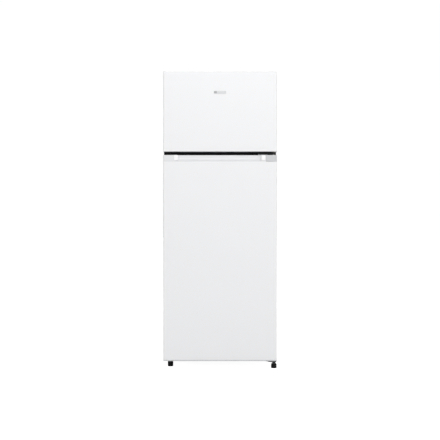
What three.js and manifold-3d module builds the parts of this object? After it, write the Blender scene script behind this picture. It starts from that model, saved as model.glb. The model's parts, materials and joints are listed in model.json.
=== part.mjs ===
// A free-standing top freezer refrigerator with two right-hinged doors.
// Millimetres, +Z up. The doors face -Y, the floor is z = 0, and the origin is under the middle.

import * as THREE from 'three';
import { mergeVertices } from 'three/addons/utils/BufferGeometryUtils.js';
import Module from 'manifold-3d';

const wasm = await Module();
wasm.setup();

// ---------------------------------------------------------------- driving dimensions

const overallWidth = 550;
const overallDepth = 542;
const overallHeight = 1434;

const fit = 0.3; // between pieces that touch
const play = 0.6; // between pieces that slide or turn on each other

// Doors
const doorThickness = 48;
const doorEdgeRadius = 6;
const doorSheet = 1.2;
const doorGap = 17;
const doorBottomHeight = 36;
const freezerDoorHeight = 386;
const badgeWidth = 60;
const badgeHeight = 13;
const badgeDrop = 94; // from the top of the freezer door
const badgeStandOff = 1.6; // the badge stands this far in front of the doors
const sealGap = 12;
const sealWidth = 18;
const sealInset = 2; // from the edge of the compartment opening to the seal

// Cabinet
const sheet = 1.2;
const linerWall = 2;
const cabinetBottom = 34;
const cabinetTopDrop = 14; // the cabinet's top lies this far below the top of the freezer door
const cabinetEdgeRadius = 8;
const frontFlange = 16;
const condenserSpace = 35; // behind the back panel
const fridgeSideWall = 45;
const freezerSideWall = 52;
const topWall = 52;
const bottomWall = 44;
const fridgeBackWall = 50;
const freezerBackWall = 60;
const dividerHeight = 80;
const railHeight = 34;
const railThickness = 2.2;
const nicheHeight = 195;
const nicheDepth = 145;
const nicheWall = 33;

// Hinges
const hingeInset = 17; // from the side of the door to the hinge axis
const hingeSetback = 22; // from the front of the door to the hinge axis
const pinRadius = 4;
const bushWall = 2.6;
const bushLength = 18;
const bushFlange = 2.4;
const bushFlangeHeight = 1;
const hingePlate = 3;
const armEdge = 3; // metal left round a hinge pin

// Feet and rollers
const footRadius = 13.5;
const stemRadius = 5;
const bossWall = 3.5;
const leftFootInset = 32; // from the side of the cabinet to the foot's axis
const leftFootSetback = 11; // from the front of the cabinet
const leftFootHeight = 27;
const rightFootHeight = 22;
const rollerRadius = 15;
const rollerWidth = 16;
const rollerInset = 42;
const axleRadius = 3;

// Interior fittings
const shelfThickness = 4;
const shelfTrimHeight = 9;
const shelfTrimDepth = 14;
const shelfCount = 3;
const ribWidth = 10;
const ribHeight = 8;
const balconyWall = 2.4;
const rackDepth = 115;
const rackHeight = 110;
const fridgeBalconyDepth = 98;
const freezerBalconyDepth = 75;
const balconyHeight = 62;
const dykeWidth = 20;
const dykeDepth = 58;
const dykeClearance = 8; // from the dyke to the compartment's side wall
const balconyClearance = 1; // between a balcony and each dyke
const doorToShelf = 23; // free space between a door's fittings and the shelves
const drawerHeight = 166;
const drawerWall = 2.5;
const drawerClearance = 10;

// ---------------------------------------------------------------- derived places

const halfWidth = overallWidth / 2;
const doorFront = -overallDepth / 2 + badgeStandOff;
const doorBack = doorFront + doorThickness;
const cabinetFront = doorBack + sealGap;
const cabinetBack = overallDepth / 2 - condenserSpace;
const cabinetTop = overallHeight - cabinetTopDrop;
const insideSheet = halfWidth - sheet - fit;

const freezerDoor = { bottom: overallHeight - freezerDoorHeight, top: overallHeight };
const fridgeDoor = { bottom: doorBottomHeight, top: freezerDoor.bottom - doorGap };
const gapMiddle = (freezerDoor.bottom + fridgeDoor.top) / 2;

const fridgeRoom = {
  halfWidth: halfWidth - fridgeSideWall,
  bottom: cabinetBottom + bottomWall,
  top: gapMiddle - dividerHeight / 2,
  back: cabinetBack - fridgeBackWall,
};
const freezerRoom = {
  halfWidth: halfWidth - freezerSideWall,
  bottom: gapMiddle + dividerHeight / 2,
  top: cabinetTop - topWall,
  back: cabinetBack - freezerBackWall,
};
const nicheTop = cabinetBottom + nicheHeight;
const nicheFront = cabinetBack - nicheDepth;
const stepTop = nicheTop + nicheWall;
const stepFront = nicheFront - nicheWall;

const hingeX = halfWidth - hingeInset;
const hingeY = doorFront + hingeSetback;
const bushRadius = pinRadius + play + bushWall;

const shelfFront = doorBack + rackDepth + doorToShelf;
const freezerShelfFront = doorBack + freezerBalconyDepth + doorToShelf;
const crisperCoverTop = stepTop + ribHeight;
const shelfPitch = (fridgeRoom.top - crisperCoverTop) / (shelfCount + 1);

// ---------------------------------------------------------------- materials

const paint = (color, roughness, metalness = 0) =>
  new THREE.MeshStandardMaterial({ color, roughness, metalness });

const whiteSteel = paint(0xf4f5f6, 0.35);
const whitePlastic = paint(0xeef0f2, 0.45);
const linerPlastic = paint(0xf1f4f6, 0.3);
const greyPlastic = paint(0xc9ccd0, 0.5);
const paleGrey = paint(0xdfe2e5, 0.45);
const blackPlastic = paint(0x141517, 0.55);
const sealRubber = paint(0xd9dcdf, 0.8);
const foamMaterial = paint(0xe8d9a8, 0.9);
const zincSteel = paint(0xaeb4ba, 0.4, 0.9);
const blackSteel = paint(0x1b1c1e, 0.45, 0.4);
const copper = paint(0xb8734a, 0.35, 1);
const aluminium = paint(0xc4c8cc, 0.35, 1);
const glass = paint(0xd6ecea, 0.05);
const clearPlastic = paint(0xe4eef4, 0.1);
const nylon = paint(0xe7e4da, 0.5);

// ---------------------------------------------------------------- geometry helpers

function block({ x, y, z }) {
  const geometry = new THREE.BoxGeometry(x[1] - x[0], y[1] - y[0], z[1] - z[0]);
  geometry.translate((x[0] + x[1]) / 2, (y[0] + y[1]) / 2, (z[0] + z[1]) / 2);
  return geometry;
}

function solid(geometry) {
  const plain = geometry.clone();
  plain.deleteAttribute('normal');
  plain.deleteAttribute('uv');
  const merged = mergeVertices(plain, 1e-3);
  const vertProperties = merged.attributes.position.array;
  const triVerts = new Uint32Array(merged.index.array);
  return new wasm.Manifold(new wasm.Mesh({ numProp: 3, vertProperties, triVerts }));
}

function surface(manifold) {
  const made = manifold.getMesh();
  const geometry = new THREE.BufferGeometry();
  geometry.setAttribute('position', new THREE.BufferAttribute(made.vertProperties, 3));
  geometry.setIndex(new THREE.BufferAttribute(made.triVerts, 1));
  geometry.computeVertexNormals();
  return geometry;
}

const join = (...pieces) => surface(pieces.map(solid).reduce((a, b) => a.add(b)));
const cut = (piece, ...tools) => surface(tools.map(solid).reduce((a, b) => a.subtract(b), solid(piece)));
const overlap = (a, b) => surface(solid(a).intersect(solid(b)));

// A plan outline raised from z[0] to z[1].
function raise(shape, z, curveSegments = 6) {
  const geometry = new THREE.ExtrudeGeometry(shape, { depth: z[1] - z[0], bevelEnabled: false, curveSegments });
  geometry.translate(0, 0, z[0]);
  return geometry;
}

// A side profile, drawn as (y, z), run along X from x[0] to x[1].
function runAlongX(shape, x, curveSegments = 6) {
  const geometry = new THREE.ExtrudeGeometry(shape, { depth: x[1] - x[0], bevelEnabled: false, curveSegments });
  const axisX = new THREE.Vector3(0, 1, 0);
  const axisY = new THREE.Vector3(0, 0, 1);
  const axisZ = new THREE.Vector3(1, 0, 0);
  geometry.applyMatrix4(new THREE.Matrix4().makeBasis(axisX, axisY, axisZ));
  geometry.translate(x[0], 0, 0);
  return geometry;
}

// A front view outline, drawn as (x, z), run along Y from y[0] to y[1].
function runAlongY(shape, y, curveSegments = 6) {
  const geometry = new THREE.ExtrudeGeometry(shape, { depth: y[1] - y[0], bevelEnabled: false, curveSegments });
  geometry.rotateX(Math.PI / 2);
  geometry.translate(0, y[1], 0);
  return geometry;
}

function polygon(points) {
  return new THREE.Shape(points.map(([a, b]) => new THREE.Vector2(a, b)));
}

// An upright disc or cylinder.
function disc(radius, z, x = 0, y = 0, sides = 24) {
  const geometry = new THREE.CylinderGeometry(radius, radius, z[1] - z[0], sides);
  geometry.rotateX(Math.PI / 2);
  geometry.translate(x, y, (z[0] + z[1]) / 2);
  return geometry;
}

// An upright turned piece: its profile is listed as [radius, height] with the height rising outside.
function turned(profile, sides = 24) {
  const geometry = new THREE.LatheGeometry(profile.map(([r, h]) => new THREE.Vector2(r, h)), sides);
  geometry.rotateX(Math.PI / 2);
  return geometry;
}

// A path through listed points, with one tube section at each point.
class PointPath extends THREE.Curve {
  constructor(points) {
    super();
    this.points = points;
  }
  getPoint(t) {
    const place = t * (this.points.length - 1);
    const index = Math.min(Math.floor(place), this.points.length - 2);
    return this.points[index].clone().lerp(this.points[index + 1], place - index);
  }
  getPointAt(u) {
    return this.getPoint(u);
  }
  getTangentAt(u, target = new THREE.Vector3()) {
    const index = Math.round(u * (this.points.length - 1));
    const before = this.points[Math.max(index - 1, 0)];
    const after = this.points[Math.min(index + 1, this.points.length - 1)];
    return target.copy(after).sub(before).normalize();
  }
}

// A round tube through corner points, with each corner bent to the bend radius.
function tube(corners, radius, bend, bendSteps = 4, sides = 8) {
  const knots = corners.map((p) => new THREE.Vector3(...p));
  const points = [knots[0]];
  for (let i = 1; i < knots.length - 1; i++) {
    const toBefore = knots[i - 1].clone().sub(knots[i]);
    const toAfter = knots[i + 1].clone().sub(knots[i]);
    const reach = Math.min(bend, toBefore.length() * 0.49, toAfter.length() * 0.49);
    const start = knots[i].clone().addScaledVector(toBefore.normalize(), reach);
    const end = knots[i].clone().addScaledVector(toAfter.normalize(), reach);
    points.push(...new THREE.QuadraticBezierCurve3(start, knots[i], end).getPoints(bendSteps));
  }
  points.push(knots.at(-1));
  const section = new THREE.Shape().absarc(0, 0, radius, 0, Math.PI * 2, false);
  return new THREE.ExtrudeGeometry(section, {
    steps: points.length - 1,
    extrudePath: new PointPath(points),
    curveSegments: sides / 2,
    bevelEnabled: false,
  });
}

function part(name, geometry, material, position = [0, 0, 0]) {
  const mesh = new THREE.Mesh(geometry, material);
  mesh.name = name;
  mesh.position.set(...position);
  return mesh;
}

function group(...children) {
  const made = new THREE.Group();
  made.add(...children);
  return made;
}

// ---------------------------------------------------------------- cabinet shell

// A front view outline with rounded upper corners.
function archOutline(half, bottom, top, radius) {
  const shape = new THREE.Shape();
  shape.moveTo(-half, bottom);
  shape.lineTo(half, bottom);
  shape.lineTo(half, top - radius);
  shape.absarc(half - radius, top - radius, radius, 0, Math.PI / 2, false);
  shape.lineTo(-half + radius, top);
  shape.absarc(-half + radius, top - radius, radius, Math.PI / 2, Math.PI, false);
  return shape;
}

function makeOuterWrap() {
  const outer = archOutline(halfWidth, cabinetBottom, cabinetTop, cabinetEdgeRadius);
  const inner = archOutline(halfWidth - sheet, cabinetBottom - 1, cabinetTop - sheet, cabinetEdgeRadius - sheet);
  const walls = cut(
    runAlongY(outer, [cabinetFront, cabinetBack]),
    runAlongY(inner, [cabinetFront + sheet, cabinetBack + 1]),
  );
  return cut(walls, block({
    x: [-halfWidth + frontFlange, halfWidth - frontFlange],
    y: [cabinetFront - 1, cabinetFront + sheet + 1],
    z: [cabinetBottom - 1, cabinetTop - frontFlange],
  }));
}

function makeBackPanel() {
  return block({
    x: [-insideSheet, insideSheet],
    y: [cabinetBack - sheet, cabinetBack],
    z: [nicheTop + sheet + fit, cabinetTop - cabinetEdgeRadius],
  });
}

function makeBasePlate() {
  const floor = block({
    x: [-insideSheet, insideSheet],
    y: [cabinetFront + sheet + fit, nicheFront - fit],
    z: [cabinetBottom, cabinetBottom + sheet],
  });
  const frontEdge = block({
    x: [-halfWidth + frontFlange + fit, halfWidth - frontFlange - fit],
    y: [cabinetFront, cabinetFront + 2 * sheet + fit],
    z: [cabinetBottom, cabinetBottom + frontFlange],
  });
  const footX = -halfWidth + leftFootInset;
  const footY = cabinetFront + leftFootSetback;
  const boss = disc(stemRadius + bossWall, [leftFootHeight + play, cabinetBottom + sheet / 2], footX, footY);
  const bore = disc(stemRadius + play, [leftFootHeight, cabinetBottom], footX, footY);
  return cut(join(floor, frontEdge, boss), bore);
}

function makeNichePanel() {
  const wall = block({
    x: [-insideSheet, insideSheet],
    y: [nicheFront, nicheFront + sheet],
    z: [cabinetBottom, nicheTop + sheet],
  });
  const roof = block({
    x: [-insideSheet, insideSheet],
    y: [nicheFront, cabinetBack],
    z: [nicheTop, nicheTop + sheet],
  });
  return join(wall, roof);
}

// The outside of a compartment's plastic liner, grown by a given amount.
function fridgeLinerBody(grow) {
  return runAlongX(polygon([
    [cabinetFront, fridgeRoom.bottom - grow],
    [stepFront + grow, fridgeRoom.bottom - grow],
    [stepFront + grow, stepTop - grow],
    [fridgeRoom.back + grow, stepTop - grow],
    [fridgeRoom.back + grow, fridgeRoom.top + grow],
    [cabinetFront, fridgeRoom.top + grow],
  ]), [-fridgeRoom.halfWidth - grow, fridgeRoom.halfWidth + grow]);
}

function freezerLinerBody(grow) {
  return block({
    x: [-freezerRoom.halfWidth - grow, freezerRoom.halfWidth + grow],
    y: [cabinetFront, freezerRoom.back + grow],
    z: [freezerRoom.bottom - grow, freezerRoom.top + grow],
  });
}

function frontFace(z) {
  const half = halfWidth - frontFlange - fit;
  return block({ x: [-half, half], y: [cabinetFront, cabinetFront + linerWall], z });
}

// A pair of shelf ribs on the side walls, with their tops at the given height.
function shelfRibs(room, front, back, height) {
  return [-1, 1].map((side) => {
    const edges = [side * (room.halfWidth - ribWidth), side * (room.halfWidth + linerWall / 2)];
    return block({ x: edges.sort((a, b) => a - b), y: [front, back], z: [height - ribHeight, height] });
  });
}

const shelfHeights = Array.from({ length: shelfCount }, (_, i) => crisperCoverTop + (i + 1) * shelfPitch);
const freezerShelfHeight = (freezerRoom.bottom + freezerRoom.top) / 2;

function makeFridgeLiner() {
  const flange = frontFace([cabinetBottom + frontFlange + fit, gapMiddle - railHeight / 2 - fit]);
  const hollow = runAlongX(polygon([
    [cabinetFront - 1, fridgeRoom.bottom],
    [stepFront, fridgeRoom.bottom],
    [stepFront, stepTop],
    [fridgeRoom.back, stepTop],
    [fridgeRoom.back, fridgeRoom.top],
    [cabinetFront - 1, fridgeRoom.top],
  ]), [-fridgeRoom.halfWidth, fridgeRoom.halfWidth]);
  const shell = cut(join(fridgeLinerBody(linerWall), flange), hollow);
  const ribFront = shelfFront + shelfTrimDepth;
  const ribBack = fridgeRoom.back - 2 * ribWidth;
  const tops = [crisperCoverTop, ...shelfHeights];
  return join(shell, ...tops.flatMap((top) => shelfRibs(fridgeRoom, ribFront, ribBack, top)));
}

function makeFreezerLiner() {
  const flange = frontFace([gapMiddle + railHeight / 2 + fit, cabinetTop - frontFlange - fit]);
  const hollow = block({
    x: [-freezerRoom.halfWidth, freezerRoom.halfWidth],
    y: [cabinetFront - 1, freezerRoom.back],
    z: [freezerRoom.bottom, freezerRoom.top],
  });
  const shell = cut(join(freezerLinerBody(linerWall), flange), hollow);
  const ribFront = freezerShelfFront + shelfTrimDepth;
  return join(shell, ...shelfRibs(freezerRoom, ribFront, freezerRoom.back - 2 * ribWidth, freezerShelfHeight));
}

// The evaporator is one bent sheet: under the freezer compartment, then down behind the fridge compartment.
const evaporatorSheet = 1.6;

function evaporatorBody(grow) {
  const top = freezerRoom.bottom - linerWall - 2 * fit;
  const front = cabinetFront + fridgeBackWall;
  const back = fridgeRoom.back + linerWall + 2 * fit;
  const bottom = fridgeRoom.top - (fridgeRoom.top - stepTop) * 0.6;
  return runAlongX(polygon([
    [front - grow, top + grow],
    [front - grow, top - evaporatorSheet - grow],
    [back - grow, top - evaporatorSheet - grow],
    [back - grow, bottom - grow],
    [back + evaporatorSheet + grow, bottom - grow],
    [back + evaporatorSheet + grow, top + grow],
  ]), [-fridgeRoom.halfWidth * 0.8 - grow, fridgeRoom.halfWidth * 0.8 + grow]);
}

function makeCabinetFoam() {
  const outline = archOutline(
    insideSheet,
    cabinetBottom + sheet + fit,
    cabinetTop - sheet - fit,
    cabinetEdgeRadius - sheet,
  );
  const niche = block({
    x: [-halfWidth, halfWidth],
    y: [nicheFront - fit, cabinetBack],
    z: [0, nicheTop + sheet + fit],
  });
  return cut(
    runAlongY(outline, [cabinetFront + 2 * sheet + 2 * fit, cabinetBack - sheet - fit]),
    niche,
    fridgeLinerBody(linerWall + fit),
    freezerLinerBody(linerWall + fit),
    evaporatorBody(fit),
  );
}

function makeCentreRail() {
  return block({
    x: [-halfWidth + sheet, halfWidth - sheet],
    y: [cabinetFront - fit - railThickness, cabinetFront - fit],
    z: [gapMiddle - railHeight / 2, gapMiddle + railHeight / 2],
  });
}

// ---------------------------------------------------------------- hinges

// The plan of a hinge arm: it leaves the cabinet and ends round the hinge axis.
function armOutline(leftX, rootY, neckY) {
  const reach = pinRadius + armEdge;
  const shape = new THREE.Shape();
  shape.moveTo(hingeX + reach, rootY);
  shape.lineTo(leftX, rootY);
  shape.lineTo(leftX, neckY);
  shape.lineTo(hingeX - reach, hingeY);
  shape.absarc(hingeX, hingeY, reach, Math.PI, Math.PI * 2, false);
  return shape;
}

const topPocketDepth = cabinetTopDrop + 2;
const topPlateBottom = cabinetTop + fit;
const topHingeReach = 70; // along the cabinet top, to the left of the hinge axis
const topHingeLength = 62; // back from the cabinet's front
const coverMargin = 1.5; // from the hinge plate to the outside of its cover
const pocketClearance = 3; // beside the hinge arm and its cover
const pinFreeEnd = 4; // left of a bush beyond the end of its pin

function makeTopHinge() {
  const rootY = cabinetFront + topHingeLength;
  const outline = armOutline(hingeX - topHingeReach, rootY, cabinetFront + play);
  const plate = raise(outline, [topPlateBottom, topPlateBottom + hingePlate]);
  const pinBottom = overallHeight - topPocketDepth - bushLength + pinFreeEnd;
  return join(plate, disc(pinRadius, [pinBottom, topPlateBottom + 1], hingeX, hingeY, 20));
}

function makeTopHingeCover() {
  const margin = coverMargin;
  const bottom = topPlateBottom + hingePlate + fit;
  const reach = pinRadius + armEdge;
  const body = raise(
    armOutline(hingeX - topHingeReach - margin, cabinetFront + topHingeLength + margin, cabinetFront + play),
    [bottom, overallHeight - 1],
  );
  const skirt = block({
    x: [hingeX - topHingeReach - margin, hingeX + reach],
    y: [cabinetFront + topHingeLength + fit, cabinetFront + topHingeLength + 2 * margin],
    z: [topPlateBottom, bottom + 1],
  });
  return join(body, skirt);
}

const middlePlate = [gapMiddle - hingePlate / 2, gapMiddle + hingePlate / 2];
const middleHingeReach = 72;
const middleFlange = 2.4;
const middleRoot = 10; // the arm keeps its full width for this length

function makeMiddleHinge() {
  const rootY = cabinetFront - railThickness - 2 * fit;
  const arm = raise(armOutline(hingeX - middleHingeReach, rootY, rootY - middleRoot), middlePlate);
  const flange = block({
    x: [hingeX - middleHingeReach, hingeX + pinRadius + armEdge],
    y: [rootY - middleFlange, rootY],
    z: [fridgeDoor.top + 1, freezerDoor.bottom - 1],
  });
  const pin = disc(
    pinRadius,
    [fridgeDoor.top - bushLength + pinFreeEnd, freezerDoor.bottom + bushLength - pinFreeEnd],
    hingeX,
    hingeY,
    20,
  );
  return join(arm, flange, pin);
}

const bracketTop = cabinetBottom - fit;
const bracketThickness = 4;
const bracketHalf = 20; // each way from the hinge axis, in front of the cabinet
const bracketCorner = 6;
const bracketTail = 40; // the extra width under the cabinet
const bracketRoot = 10; // from the cabinet's front to the full width
const bracketLength = 80;
const bracketInset = 2; // from the side of the cabinet
const boreRoof = 1.5; // metal left over the foot's stem
const rightFootX = halfWidth - footRadius - play;
const rightFootY = doorFront + footRadius + 3;

function makeBottomHinge() {
  const bracket = new THREE.Shape();
  const front = rightFootY - stemRadius - bossWall - 1;
  const left = hingeX - bracketHalf;
  const right = halfWidth - bracketInset;
  bracket.moveTo(left, front + bracketCorner);
  bracket.lineTo(left + bracketCorner, front);
  bracket.lineTo(right - bracketCorner / 2, front);
  bracket.lineTo(right, front + bracketCorner / 2);
  bracket.lineTo(right, cabinetFront + bracketLength);
  bracket.lineTo(left - bracketTail, cabinetFront + bracketLength);
  bracket.lineTo(left - bracketTail, cabinetFront + bracketRoot);
  const plate = raise(bracket, [bracketTop - bracketThickness, bracketTop]);
  const pin = disc(pinRadius, [bracketTop - 1, doorBottomHeight + bushLength - pinFreeEnd], hingeX, hingeY, 20);
  const boss = disc(
    stemRadius + bossWall,
    [rightFootHeight + play, bracketTop - bracketThickness + 1],
    rightFootX,
    rightFootY,
  );
  const bore = disc(stemRadius + play, [rightFootHeight, bracketTop - boreRoof], rightFootX, rightFootY);
  return cut(join(plate, pin, boss), bore);
}

// A flanged bush, drawn with its flange's outer face at height 0 and its sleeve above.
function makeBush() {
  const bore = pinRadius + play;
  return turned([
    [bore, 0],
    [bushRadius + bushFlange, 0],
    [bushRadius + bushFlange, bushFlangeHeight],
    [bushRadius, bushFlangeHeight],
    [bushRadius, bushLength],
    [bore, bushLength],
    [bore, 0],
  ]);
}

// The hole that a bush and the tip of its pin need, from the door's end inwards.
function bushHole(z) {
  return disc(bushRadius + fit, z, hingeX, hingeY);
}

// ---------------------------------------------------------------- feet and rollers

function makeFoot(height, stemTop) {
  const edge = 2;
  return turned([
    [0, 0],
    [footRadius - edge, 0],
    [footRadius, edge],
    [footRadius, height - edge],
    [footRadius - edge, height],
    [stemRadius, height],
    [stemRadius, stemTop],
    [0, stemTop],
  ]);
}

function makeRoller() {
  const edge = 2;
  const half = rollerWidth / 2;
  const bore = axleRadius + play;
  const wheel = turned([
    [bore, -half],
    [rollerRadius - edge, -half],
    [rollerRadius, -half + edge],
    [rollerRadius, half - edge],
    [rollerRadius - edge, half],
    [bore, half],
    [bore, -half],
  ], 32);
  wheel.rotateZ(Math.PI / 32);
  wheel.rotateY(Math.PI / 2);
  return wheel;
}

// ---------------------------------------------------------------- cooling circuit

const rollerX = halfWidth - rollerInset;
const rollerY = cabinetBack - rollerRadius - 8;
const rollerZ = rollerRadius * Math.cos(Math.PI / 32);
const baseSheet = 2;
const rearEdgeHeight = 14;
const hanger = { sheet: 2, half: 9, below: 6, axleEnd: 4 };

function makeCompressorBase() {
  const y = [nicheFront + sheet + fit, cabinetBack];
  const floor = block({ x: [-insideSheet, insideSheet], y, z: [cabinetBottom, cabinetBottom + baseSheet] });
  const rearEdge = block({
    x: [-insideSheet, insideSheet],
    y: [y[1] - baseSheet, y[1]],
    z: [cabinetBottom, cabinetBottom + rearEdgeHeight],
  });
  const hangers = [-1, 1].flatMap((side) => [-1, 1].map((cheek) => {
    const middle = side * rollerX + cheek * (rollerWidth / 2 + play + hanger.sheet / 2);
    return block({
      x: [middle - hanger.sheet / 2, middle + hanger.sheet / 2],
      y: [rollerY - hanger.half, rollerY + hanger.half],
      z: [rollerZ - hanger.below, cabinetBottom + 1],
    });
  }));
  const axles = [-1, 1].map((side) => {
    const reach = rollerWidth / 2 + hanger.axleEnd;
    const axle = disc(axleRadius, [-reach, reach], 0, 0, 16);
    axle.rotateY(Math.PI / 2);
    axle.translate(side * rollerX, rollerY, rollerZ);
    return axle;
  });
  return join(floor, rearEdge, ...hangers, ...axles);
}

const compressorX = 60;
const shellRadius = 92;
const shellDepthShare = 0.7;
const shellHeight = 150;
const grommetHeight = 8;
const mountPlate = 3;
const mountHalf = { x: 95, y: 55 };
const seam = { width: 3, height: 4 };
const stub = { radius: 5, length: 30, sink: 16 };
const compressorClearance = 8; // from the niche panel to the shell
const compressorY = nicheFront + sheet + compressorClearance + shellRadius * shellDepthShare;
const compressorBottom = cabinetBottom + baseSheet + grommetHeight;
const shellMiddle = compressorBottom + mountPlate + shellHeight / 2 - 2;
const stubReach = 14;

// Rounded like a dome above and below, as a superellipse.
function shellProfile() {
  const steps = 14;
  const points = [];
  for (let i = 0; i <= steps; i++) {
    const angle = -Math.PI / 2 + (Math.PI * i) / steps;
    const height = Math.sign(Math.sin(angle)) * Math.abs(Math.sin(angle)) ** 0.75;
    const radius = i % steps === 0 ? 0 : Math.cos(angle) ** 0.55;
    points.push([shellRadius * radius, (shellHeight / 2) * height]);
  }
  return points;
}

const stubHeights = [-20, 18];

function makeCompressor() {
  const shell = turned(shellProfile(), 28);
  shell.scale(1, shellDepthShare, 1);
  const flange = disc(shellRadius + seam.width, [-seam.height / 2, seam.height / 2], 0, 0, 28);
  flange.scale(1, shellDepthShare, 1);
  const body = join(shell, flange);
  body.translate(compressorX, compressorY, shellMiddle);
  const plate = block({
    x: [compressorX - mountHalf.x, compressorX + mountHalf.x],
    y: [compressorY - mountHalf.y, compressorY + mountHalf.y],
    z: [compressorBottom, compressorBottom + mountPlate],
  });
  const stubs = stubHeights.map((height) => {
    const pipe = disc(stub.radius, [0, stub.length], 0, 0, 12);
    pipe.rotateY(-Math.PI / 2);
    pipe.translate(compressorX - shellRadius + stub.sink, compressorY, shellMiddle + height);
    return pipe;
  });
  return join(body, plate, ...stubs);
}

const stubEndX = compressorX - shellRadius + stub.sink - stub.length;
const terminal = { gap: 4, width: 34, half: 26, drop: 39, height: 70 };
const gland = { radius: 8, reach: 13, bore: 4.5, height: 18 };

function makeTerminalBox() {
  const left = compressorX + shellRadius + terminal.gap;
  const bottom = shellMiddle - terminal.drop;
  const rear = compressorY + terminal.half;
  const body = block({
    x: [left, left + terminal.width],
    y: [compressorY - terminal.half, rear],
    z: [bottom, bottom + terminal.height],
  });
  const alongDepth = (radius, y, sides) => {
    const bar = disc(radius, y, 0, 0, sides);
    bar.rotateX(-Math.PI / 2);
    bar.translate(left + terminal.width / 2, rear, bottom + gland.height);
    return bar;
  };
  return cut(
    join(body, alongDepth(gland.radius, [-1, gland.reach], 16)),
    alongDepth(gland.bore, [-gland.bore, gland.reach + 1], 12),
  );
}

const evaporationTray = { wall: 2, half: 78, above: 3, headroom: 5, front: 12, back: 10 };

function makeEvaporationTray() {
  const { wall, half } = evaporationTray;
  const bottom = shellMiddle + shellHeight / 2 + evaporationTray.above;
  const top = nicheTop - evaporationTray.headroom;
  const x = [compressorX - half, compressorX + half];
  const y = [nicheFront + sheet + evaporationTray.front, cabinetBack - evaporationTray.back];
  const inner = block({
    x: [x[0] + wall, x[1] - wall],
    y: [y[0] + wall, y[1] - wall],
    z: [bottom + wall, top + 1],
  });
  return cut(block({ x, y, z: [bottom, top] }), inner);
}

const coilTube = 2.5;
const coilY = overallDepth / 2 - coilTube;
const coilHalf = halfWidth - 60;
const coilPasses = 14;
const coilBottom = nicheTop + 70;
const coilTop = cabinetTop - 90;
const coilBend = 0.45; // a bend's radius as a share of the distance between passes
const coilPost = { radius: 5, inset: 60 };

function makeCondenserCoil() {
  const pitch = (coilTop - coilBottom) / (coilPasses - 1);
  const corners = [];
  for (let i = 0; i < coilPasses; i++) {
    const z = coilTop - i * pitch;
    const start = i % 2 ? coilHalf : -coilHalf;
    corners.push([start, coilY, z], [-start, coilY, z]);
  }
  const serpentine = tube(corners, coilTube, pitch * coilBend, 3);
  const standOffs = [-1, 1].flatMap((side) => [coilTop, coilTop - (coilPasses - 2) * pitch].map((z) => {
    const post = disc(coilPost.radius, [0, coilY - cabinetBack - fit], 0, 0, 10);
    post.rotateX(-Math.PI / 2);
    post.translate(side * (coilHalf - coilPost.inset), cabinetBack + fit, z);
    return post;
  }));
  return join(serpentine, ...standOffs);
}

const pipeX = -coilHalf - 20;
const dischargeBend = 18;
const suction = { radius: 4, bend: 16, left: 60, back: 30 };

function makeDischargePipe() {
  const z = shellMiddle + stubHeights[1];
  return tube([
    [stubEndX - fit, compressorY, z],
    [pipeX, compressorY, z],
    [pipeX, coilY, z],
    [pipeX, coilY, coilTop],
    [-coilHalf - coilTube - fit, coilY, coilTop],
  ], coilTube, dischargeBend);
}

function makeSuctionPipe() {
  const z = shellMiddle + stubHeights[0];
  return tube([
    [stubEndX - fit, compressorY, z],
    [stubEndX - suction.left, compressorY, z],
    [stubEndX - suction.left, compressorY + suction.back, z],
    [stubEndX - suction.left, compressorY + suction.back, nicheTop - fit],
  ], suction.radius, suction.bend);
}

const drier = { radius: 9, neck: 3, cone: 14, bottom: 90, length: 92, inset: 40, setback: 25, overlap: 4 };
const drierInlet = { radius: 2.2, bend: 12, rise: 23, cross: 25 };
const capillaryTube = { radius: 1.6, bend: 12, drop: 20, right: 34, front: 30 };

function makeFilterDrier() {
  const x = -coilHalf + drier.inset;
  const y = cabinetBack - drier.setback;
  const { radius, neck, cone, bottom } = drier;
  const top = bottom + drier.length;
  const low = bottom - capillaryTube.drop;
  const high = top + drierInlet.rise;
  const body = turned([
    [0, bottom],
    [neck, bottom],
    [radius, bottom + cone],
    [radius, top - cone],
    [neck, top],
    [0, top],
  ], 16);
  body.translate(x, y, 0);
  const inlet = tube([
    [x, y, top - drier.overlap],
    [x, y, high],
    [x, coilY, high],
    [-coilHalf - coilTube, coilY, high + drierInlet.cross],
    [-coilHalf - coilTube, coilY, coilBottom - coilTube - fit],
  ], drierInlet.radius, drierInlet.bend);
  const capillary = tube([
    [x, y, bottom + drier.overlap],
    [x, y, low],
    [x + capillaryTube.right, y - capillaryTube.front, low],
    [x + capillaryTube.right, y - capillaryTube.front, nicheTop - fit],
  ], capillaryTube.radius, capillaryTube.bend);
  return join(body, inlet, capillary);
}

// ---------------------------------------------------------------- control housing and lamp

const housing = {
  half: 120,
  front: cabinetFront + 7,
  back: cabinetFront + 180,
  bottom: fridgeRoom.top - 46,
  top: fridgeRoom.top - fit,
  wall: 2.5,
};
const controlHeight = housing.top - 23;
const knobX = 55;
const plungerX = 100;
const lensX = [-105, -10];
const lensY = [housing.front + 18, housing.back - 30];
const lensRim = 6;
const lensDepth = 4;
const plungerTravel = 5;
const knobShaft = 3;
const plunger = { radius: 4, collar: 7, back: 10 };

function alongFront(radius, y, sides = 24) {
  const geometry = new THREE.CylinderGeometry(radius, radius, y[1] - y[0], sides);
  geometry.translate(0, (y[0] + y[1]) / 2, 0);
  return geometry;
}

function frontBore(radius, x) {
  const bore = alongFront(radius, [housing.front - 1, housing.front + housing.wall + 1], 20);
  bore.translate(x, 0, controlHeight);
  return bore;
}

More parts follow.
